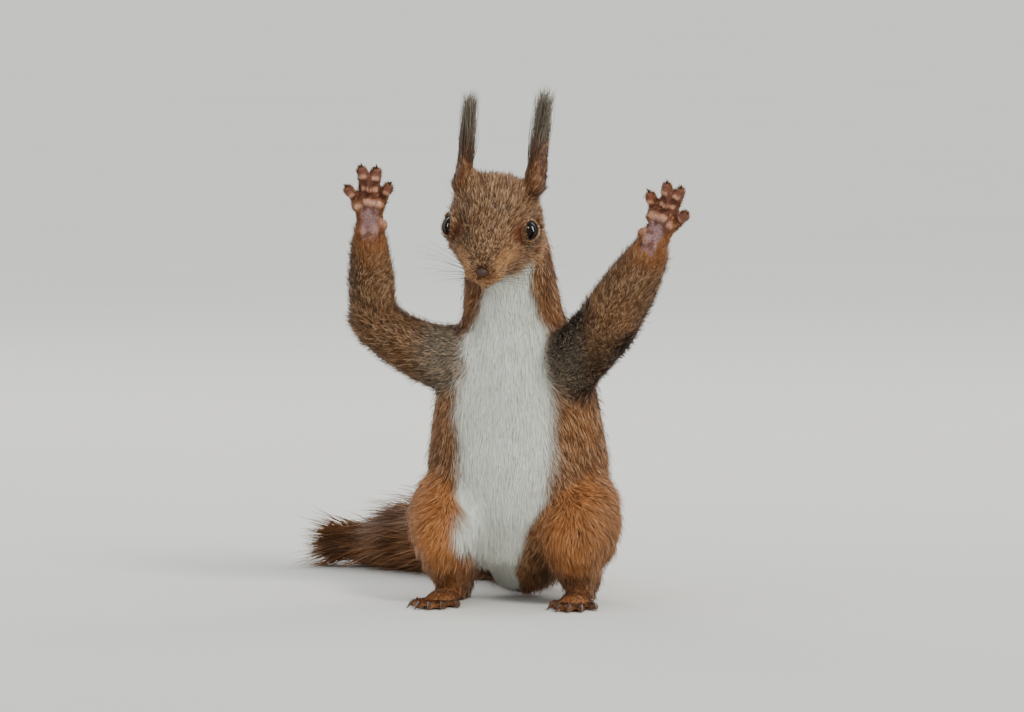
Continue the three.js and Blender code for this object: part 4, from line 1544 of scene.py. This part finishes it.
# %% Grow the tufts
def grow_tuft(side):
    ear_low, axis, first, second, centre, low, high, radius = tuft_frame(side)
    up_ear = ((points - ear_low) @ axis) / ((centre + axis * low - ear_low) @ axis)
    density = share_of(f"ear_{side}") * smooth_step(up_ear, TUFT_FROM, 0.95)
    face, weights = scatter(density, TUFT_HAIRS)
    root = at_roots(points, face, weights)
    normal = unit(at_roots(soft_normal, face, weights))
    # Each hair ends at its own height, and the bundle opens out from the ear's tip to the top.
    height_share = chance.beta(*TUFT_ENDS, TUFT_HAIRS) * TUFT_TOP[side]
    lock = chance.integers(0, TUFT_LOCKS, TUFT_HAIRS)
    lock_spot = in_a_disc(TUFT_LOCKS)
    own_spot = in_a_disc(TUFT_HAIRS)
    with_lock = chance.uniform(*TUFT_WITH_LOCK, TUFT_HAIRS)[:, None]
    spot = lock_spot[lock] * with_lock + own_spot * (1 - with_lock)
    spot *= (radius * (TUFT_FOOT + (TUFT_OPEN - TUFT_FOOT) * np.minimum(height_share, 1)))[:, None]
    end = centre + axis * (low + (high - low) * height_share)[:, None]
    end = end + first * spot[:, :1] + second * spot[:, 1:]
    knee = root + axis * (0.5 * np.linalg.norm(end - root, axis=1))[:, None] + normal * 0.3 * MM
    sway = across_to(axis, chance.normal(0, 1, (TUFT_LOCKS, 3)) * TUFT_LOCK_SWAY)[lock]
    sway += across_to(axis, chance.normal(0, TUFT_HAIR_SWAY, (TUFT_HAIRS, 3)))
    curl = across_to(axis, chance.normal(0, TUFT_HAIR_SWAY, (TUFT_HAIRS, 3)))
    paths = []
    for share in np.linspace(0, 1, TUFT_STEPS + 1):
        bend = root * (1 - share) ** 2 + knee * 2 * share * (1 - share) + end * share**2
        wave = sway * math.sin(math.pi * share) + curl * math.sin(2 * math.pi * share) * share
        paths.append(bend + wave)
    width = chance.uniform(*TUFT_WIDTHS, TUFT_HAIRS) * MM
    rooted = {key: at_roots(each, face, weights) for key, each in marks.items() if key not in SKIN_ONLY}
    rooted |= {"root": root, "chance": chance.random(TUFT_HAIRS)}
    unwrapped = round_limb(f"ear_{side}")(root)
    made = make_blades(f"tuft_{side}", np.stack(paths, 1), normal, width, unwrapped, rooted, tuft_finish)
    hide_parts(f"ear_tuft_{side}")
    return made


for side in SIDES:
    grow_tuft(side)

# %% [markdown]
# ## Eyes and lids
#
# A squirrel's eye is a dark brown ball, nearly black, under a wet film. It keeps the solid's own size
# and place, only rounder. A thin dark lid runs along the edge of the opening, as a closed tube. The same
# tube maker serves the whiskers and the claws.


# %% Tubes
def tube(path, radii, sides=8, closed=False):
    """A tube along a path; its ends run to a point unless the path is closed."""
    path = np.asarray(path, float)
    if closed:
        run = unit(np.roll(path, -1, 0) - np.roll(path, 1, 0))
    else:
        run = unit(np.gradient(path, axis=0))
    start = unit(np.cross(run[0], [0.31, 0.52, 0.79]))
    first = []
    for ahead in run:
        start = unit(across_to(ahead, start))
        first.append(start)
    first = np.array(first)
    second = np.cross(run, first)
    angles = np.arange(sides) * 2 * math.pi / sides
    ring = first[:, None] * np.cos(angles)[None, :, None] + second[:, None] * np.sin(angles)[None, :, None]
    spots = (path[:, None] + ring * np.broadcast_to(radii, len(path))[:, None, None]).reshape(-1, 3)
    faces = []
    count = len(path)
    for k in range(count if closed else count - 1):
        for s in range(sides):
            t = (s + 1) % sides
            here, there = k * sides, (k + 1) % count * sides
            faces += [(here + s, here + t, there + t), (here + s, there + t, there + s)]
    if not closed:
        spots = np.concatenate([spots, path[[0, -1]]])
        base, tip, last = len(spots) - 2, len(spots) - 1, (count - 1) * sides
        for s in range(sides):
            t = (s + 1) % sides
            faces += [(base, t, s), (tip, last + s, last + t)]
    return spots, np.array(faces)


print("a short tube has", len(tube([[0, 0, 0], [0, 0, 1.0]], 1.0)[1]), "triangles")

# %% Eye and lid finishes
eye_finish, wires = new_material("eye_wet")
mottle = wires.texture("ShaderNodeTexNoise", 500.0, 3.0)
iris = mottle.mix(colour(10, 6, 5), colour(24, 14, 10))
inputs = {"Base Color": iris, "Roughness": 0.04, "Specular IOR Level": 0.14}
finish_material(wires, inputs)

lid_finish, wires = new_material("lid_skin")
folds = wires.texture("ShaderNodeTexNoise", 1500.0, 3.0)
shade = folds.mix(colour(26, 17, 14), colour(54, 37, 30))
grain = wires.node("ShaderNodeBump", None, {"Strength": 0.4, "Distance": 0.1 * MM, "Height": folds})
inputs = {"Base Color": shade, "Roughness": 0.7, "Specular IOR Level": 0.2, "Normal": grain}
finish_material(wires, inputs)
print("finishes:", eye_finish.name, "and", lid_finish.name)

# %% Eyes
LID_RADIUS = 0.34 * MM
LID_RAISED = 0.12 * MM
LID_POINTS = 72
EYE_GRID = (36, 48)
for side in SIDES:
    directions, faces = ball_grid(*EYE_GRID)
    ball = new_object(f"eyeball_{side}", eye_at[side] + directions * EYE_RADIUS, faces, eye_finish)
    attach(ball, BODY)
    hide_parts(f"eye_{side}")
    along, high, ahead = eye_axes(side)
    rim = []
    for angle in np.arange(LID_POINTS) * 2 * math.pi / LID_POINTS:
        reach = float(opening_edge(math.cos(angle), math.sin(angle)))
        sideways = along * math.cos(angle) + high * math.sin(angle)
        rim.append(ahead * math.cos(reach) + sideways * math.sin(reach))
    path = eye_at[side] + np.array(rim) * (EYE_RADIUS + LID_RAISED)
    lid = new_object(f"lid_{side}", *tube(path, LID_RADIUS, closed=True), lid_finish)
    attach(lid, BODY)
    print(side, "eye", round(2 * EYE_RADIUS / MM, 1), "mm across")

# %% [markdown]
# ## Nose
#
# The nose is a small bare pad, grained like leather, with a comma-shaped nostril on each side and a
# groove down the middle that runs on to the lip. It starts as a ball stretched to the solid's size.

# %% Nose finish
nose_finish, wires = new_material("nose_skin")
pebbles = wires.texture("ShaderNodeTexVoronoi", 3200.0, settings={"feature": "F1"})
blush = wires.texture("ShaderNodeTexNoise", 600.0)
shade = blush.between(0.3, 0.7).mix(colour(54, 37, 32), colour(80, 57, 50))
# Painted shade: the nostrils and the groove down the middle are darkened, where shade falls in them.
shade = (mark(wires, "hollow") * 0.9).mix(shade, colour(24, 14, 12))
grain = wires.node("ShaderNodeBump", None, {"Strength": 0.5, "Distance": 0.08 * MM, "Height": pebbles})
inputs = {"Base Color": shade, "Roughness": 0.55, "Normal": grain, "Specular IOR Level": 0.35}
finish_material(wires, inputs)

print("finish:", nose_finish.name)

# %% Nose
NOSE_HALF = np.array([2.3, 1.6, 1.6])
NOSE_SET_BACK = np.array([0, 1.0, 0])
NOSE_GRID = (64, 80)
NOSTRIL_DEPTH = 0.34
CLEFT_DEPTH = 0.16
CLEFT_HALF_WIDTH = 0.1
directions, faces = ball_grid(*NOSE_GRID)
folded = np.abs(directions * [1, 0, 0]) + directions * [0, 1, 1]


def dent(centre, squeeze, reach):
    """1 at a place on the ball, fading away from it. Squeeze makes it narrow along an axis."""
    return np.exp(-((np.linalg.norm((folded - centre) * squeeze, axis=1) / reach) ** 2))


nostril = dent([0.62, -0.62, -0.05], [1, 0.8, 1.5], 0.3)
slit = dent([0.9, -0.35, 0.12], [1, 0.8, 2.2], 0.26)
cleft = np.exp(-((directions[:, 0] / CLEFT_HALF_WIDTH) ** 2)) * smooth_step(-directions[:, 1], 0.1, 0.6)
cleft *= smooth_step(-directions[:, 2], -0.35, 0.4)
hollow = np.maximum(nostril, 0.8 * slit)
shape = directions * NOSE_HALF * (1 - NOSTRIL_DEPTH * hollow - CLEFT_DEPTH * cleft)[:, None]
nose = new_object("nose_pad", from_head(in_head(middle("nose")) + NOSE_SET_BACK + shape), faces, nose_finish)
set_marks(nose, {"hollow": np.maximum(hollow, 0.5 * cleft)})
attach(nose, BODY)
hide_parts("nose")
print("nose", np.round(2 * NOSE_HALF, 1), "mm")

# %% [markdown]
# ## Whiskers
#
# Whiskers are stiff dark hairs in rows on the pads beside the nose, with a few above the eyes and under
# the chin. They are the only hairs thick enough to see one by one, so each is a tapered tube.

# %% One whisker
WHISKER_RADIUS = 0.075 * MM
WHISKER_STEPS = 8
WHISKER_TAPER = 0.85
whisker_finish, wires = new_material("whisker")
streak = wires.texture("ShaderNodeTexNoise", 250.0)
inputs = {"Base Color": streak.mix(colour(22, 16, 14), colour(60, 44, 36)), "Roughness": 0.4}
finish_material(wires, inputs)


def whisker(root, way, length, droop):
    """A tapered, sagging hair from the skin nearest to a place in the head's millimetres."""
    start = np.array(near_skin.find_nearest(from_head(root))[0])
    way = unit(np.asarray(way, float)) @ head_axes
    share = np.linspace(0, 1, WHISKER_STEPS + 1)[:, None]
    path = start + way * share * length * MM - head_up * share**2 * droop * length * MM
    return tube(path, WHISKER_RADIUS * (1 - WHISKER_TAPER * share[:, 0]), sides=5)


print("finish:", whisker_finish.name)

# %% Whiskers
hairs = []
for sign in SIDES.values():
    for row in range(4):
        for k in range(4):
            root = (sign * (3.8 + 0.9 * k), -20.4 + 1.8 * k, -6.6 - 1.5 * row)
            backward = 0.1 + 0.14 * k + chance.normal(0, 0.06)
            upward = 0.34 - 0.2 * row + chance.normal(0, 0.05)
            way = (sign * 1.0, backward, upward)
            hairs.append(whisker(root, way, 13 + 5 * k + chance.uniform(-2, 2), 0.14))
    for k in range(3):
        way = (sign * 0.7, -0.25 + 0.3 * k, 1.0)
        hairs.append(whisker((sign * (9 + 1.2 * k), -5 + 2 * k, 8), way, 11 + 2 * k, -0.12))
        hairs.append(whisker((sign * (2 + k), -15.6 + 2 * k, -18), (sign * 0.5, 0.1, -1.0), 8, 0.1))
whiskers = new_object("whiskers", *together(hairs), whisker_finish)
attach(whiskers, BODY)
print(len(hairs), "whiskers")

# %% [markdown]
# ## Claws
#
# Each claw is a curved cone of dark horn, paler where it leaves the toe. It runs from the toe end of its
# solid to the point, with the same hook.

# %% One claw
CLAW_SIDES = 10
CLAW_STEPS = 10
CLAW_RADIUS = 0.82 * MM
CLAW_TAPER = 0.9
CLAW_HOOK = 0.8
claw_finish, wires = new_material("claw_horn")
layers = wires.texture("ShaderNodeTexNoise", 900.0, 3.0)
shade = layers.mix(colour(46, 32, 26), colour(92, 66, 50))
shade = (mark(wires, "along").between(0.2, 1.0) * 0.7).mix(shade, colour(26, 18, 15))
grain = wires.node("ShaderNodeBump", None, {"Strength": 0.3, "Distance": 0.05 * MM, "Height": layers})
inputs = {"Base Color": shade, "Roughness": 0.32, "Normal": grain, "Coat Weight": 0.2}
finish_material(wires, inputs)


def smooth_claw(name, limb_at):
    solid = cad_points(name)
    distance = np.linalg.norm(solid - limb_at, axis=1)
    order = np.argsort(distance)
    nearest_fifth = order[:max(len(order) // 5, 1)]
    start, tip = solid[nearest_fifth].mean(0), solid[order[-1]]
    centre = solid.mean(0)
    bend = centre + (centre - (start + tip) / 2) * CLAW_HOOK
    share = np.linspace(0, 1, CLAW_STEPS)[:, None]
    path = start * (1 - share) ** 2 + bend * 2 * share * (1 - share) + tip * share**2
    radii = CLAW_RADIUS * (1 - share[:, 0] ** 1.3 * CLAW_TAPER)
    path[:, 2] = np.maximum(path[:, 2], radii + FLOOR_CLEAR)
    return tube(path, radii, CLAW_SIDES), np.append(np.repeat(share[:, 0], CLAW_SIDES), [0.0, 1.0])


print("finish:", claw_finish.name)

# %% Claws
for limb, digits in (("hand", range(2, 6)), ("foot", range(1, 6))):
    for side in SIDES:
        names = [f"claw_{limb}_{side}_{k}" for k in digits]
        made = [smooth_claw(name, middle(f"{limb}_{side}")) for name in names]
        claws = new_object(f"claws_{limb}_{side}", *together([part for part, _ in made]), claw_finish)
        set_marks(claws, {"along": np.concatenate([along for _, along in made])})
        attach(claws, BODY)
        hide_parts(*names)
        print(claws.name, "replaces", len(names), "nodes")

# %% [markdown]
# ## Floor and light
#
# A plain pale floor runs on past the edge of every view, so no edge and no wall shows from any side. A
# wide soft sun lights it evenly from the front and above, and two lamps behind light up the fringe of the
# coat. The pale world around gives the rest. Two tall strips shine on the eyes alone, and only as a
# reflection, as a window would: light linking keeps them off the coat.

# %% Floor
FLOOR_HALF = 60.0
floor_finish, wires = new_material("studio_floor")
soft = wires.texture("ShaderNodeTexNoise", 3.0)
inputs = {"Base Color": soft.mix(colour(216, 216, 210), colour(222, 222, 216)), "Roughness": 0.9}
finish_material(wires, inputs)
corners = [(x * FLOOR_HALF, y * FLOOR_HALF, 0.0) for x, y in ((-1, -1), (1, -1), (1, 1), (-1, 1))]
new_object("studio_floor", corners, [(0, 1, 2, 3)], floor_finish)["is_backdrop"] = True
print("floor", 2 * FLOOR_HALF, "m across")


# %% Lights
def aimed(name, kind, place, watts, tint):
    light = bpy.data.lights.new(name, kind)
    light.energy = watts
    light.color = tint
    made = bpy.data.objects.new(name, light)
    made.location = place
    aim_at = frame_middle - made.location
    made.rotation_euler = aim_at.to_track_quat("-Z", "Y").to_euler()
    bpy.context.collection.objects.link(made)
    return made


def softbox(name, place, width, tall, watts, tint):
    made = aimed(name, "AREA", place, watts, tint)
    made.data.shape = "RECTANGLE"
    made.data.size = width
    made.data.size_y = tall
    return made


SUN_SOFTNESS = math.radians(14)
SUNLIGHT = (1.0, 0.97, 0.92)
frame_middle = (CAD_BOX[0] + CAD_BOX[1]) / 2
aimed("key", "SUN", (0.85, -1.0, 1.05), 2.1, SUNLIGHT).data.angle = SUN_SOFTNESS
print("sun", round(math.degrees(SUN_SOFTNESS)), "degrees wide")

# %% Windows in the eyes
WINDOW_GLOW = 210
DAYLIGHT = (0.92, 0.97, 1.0)
WINDOWS = {
    "window_left": ((1.0, -0.07, 0.36), 0.16, 0.9),
    "window_right": ((-0.93, -0.4, 0.36), 0.1, 0.4),
}
seen_in_the_eyes = bpy.data.collections.new("seen_in_the_eyes")
for side in SIDES:
    seen_in_the_eyes.objects.link(bpy.data.objects[f"eyeball_{side}"])
for name, (place, wide, tall) in WINDOWS.items():
    window = softbox(name, place, wide, tall, WINDOW_GLOW * wide * tall, DAYLIGHT)
    window.visible_diffuse = False
    window.light_linking.receiver_collection = seen_in_the_eyes
print(len(WINDOWS), "windows")

# %% Rim lamps and world
RIM_SIZE = 0.7
WARM = (1.0, 0.95, 0.88)
softbox("rim_left", (0.8, 1.0, 1.1), RIM_SIZE, RIM_SIZE, 6, WARM)
softbox("rim_right", (-0.7, 1.0, 1.0), RIM_SIZE, RIM_SIZE, 5, WARM)
world = bpy.data.worlds.new("studio")
bpy.context.scene.world = world
world.use_nodes = True
background = world.node_tree.nodes["Background"]
background.inputs["Color"].default_value = (0.9, 0.92, 0.94, 1.0)
background.inputs["Strength"].default_value = 1.0
print("world", world.name)

# %% Sizes
VISUAL_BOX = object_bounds()
sizes = {"cad": [list(corner) for corner in CAD_BOX], "visual": [list(corner) for corner in VISUAL_BOX]}
for name, corners in sizes.items():
    print(name, [[round(x / MM, 1) for x in corner] for corner in corners])
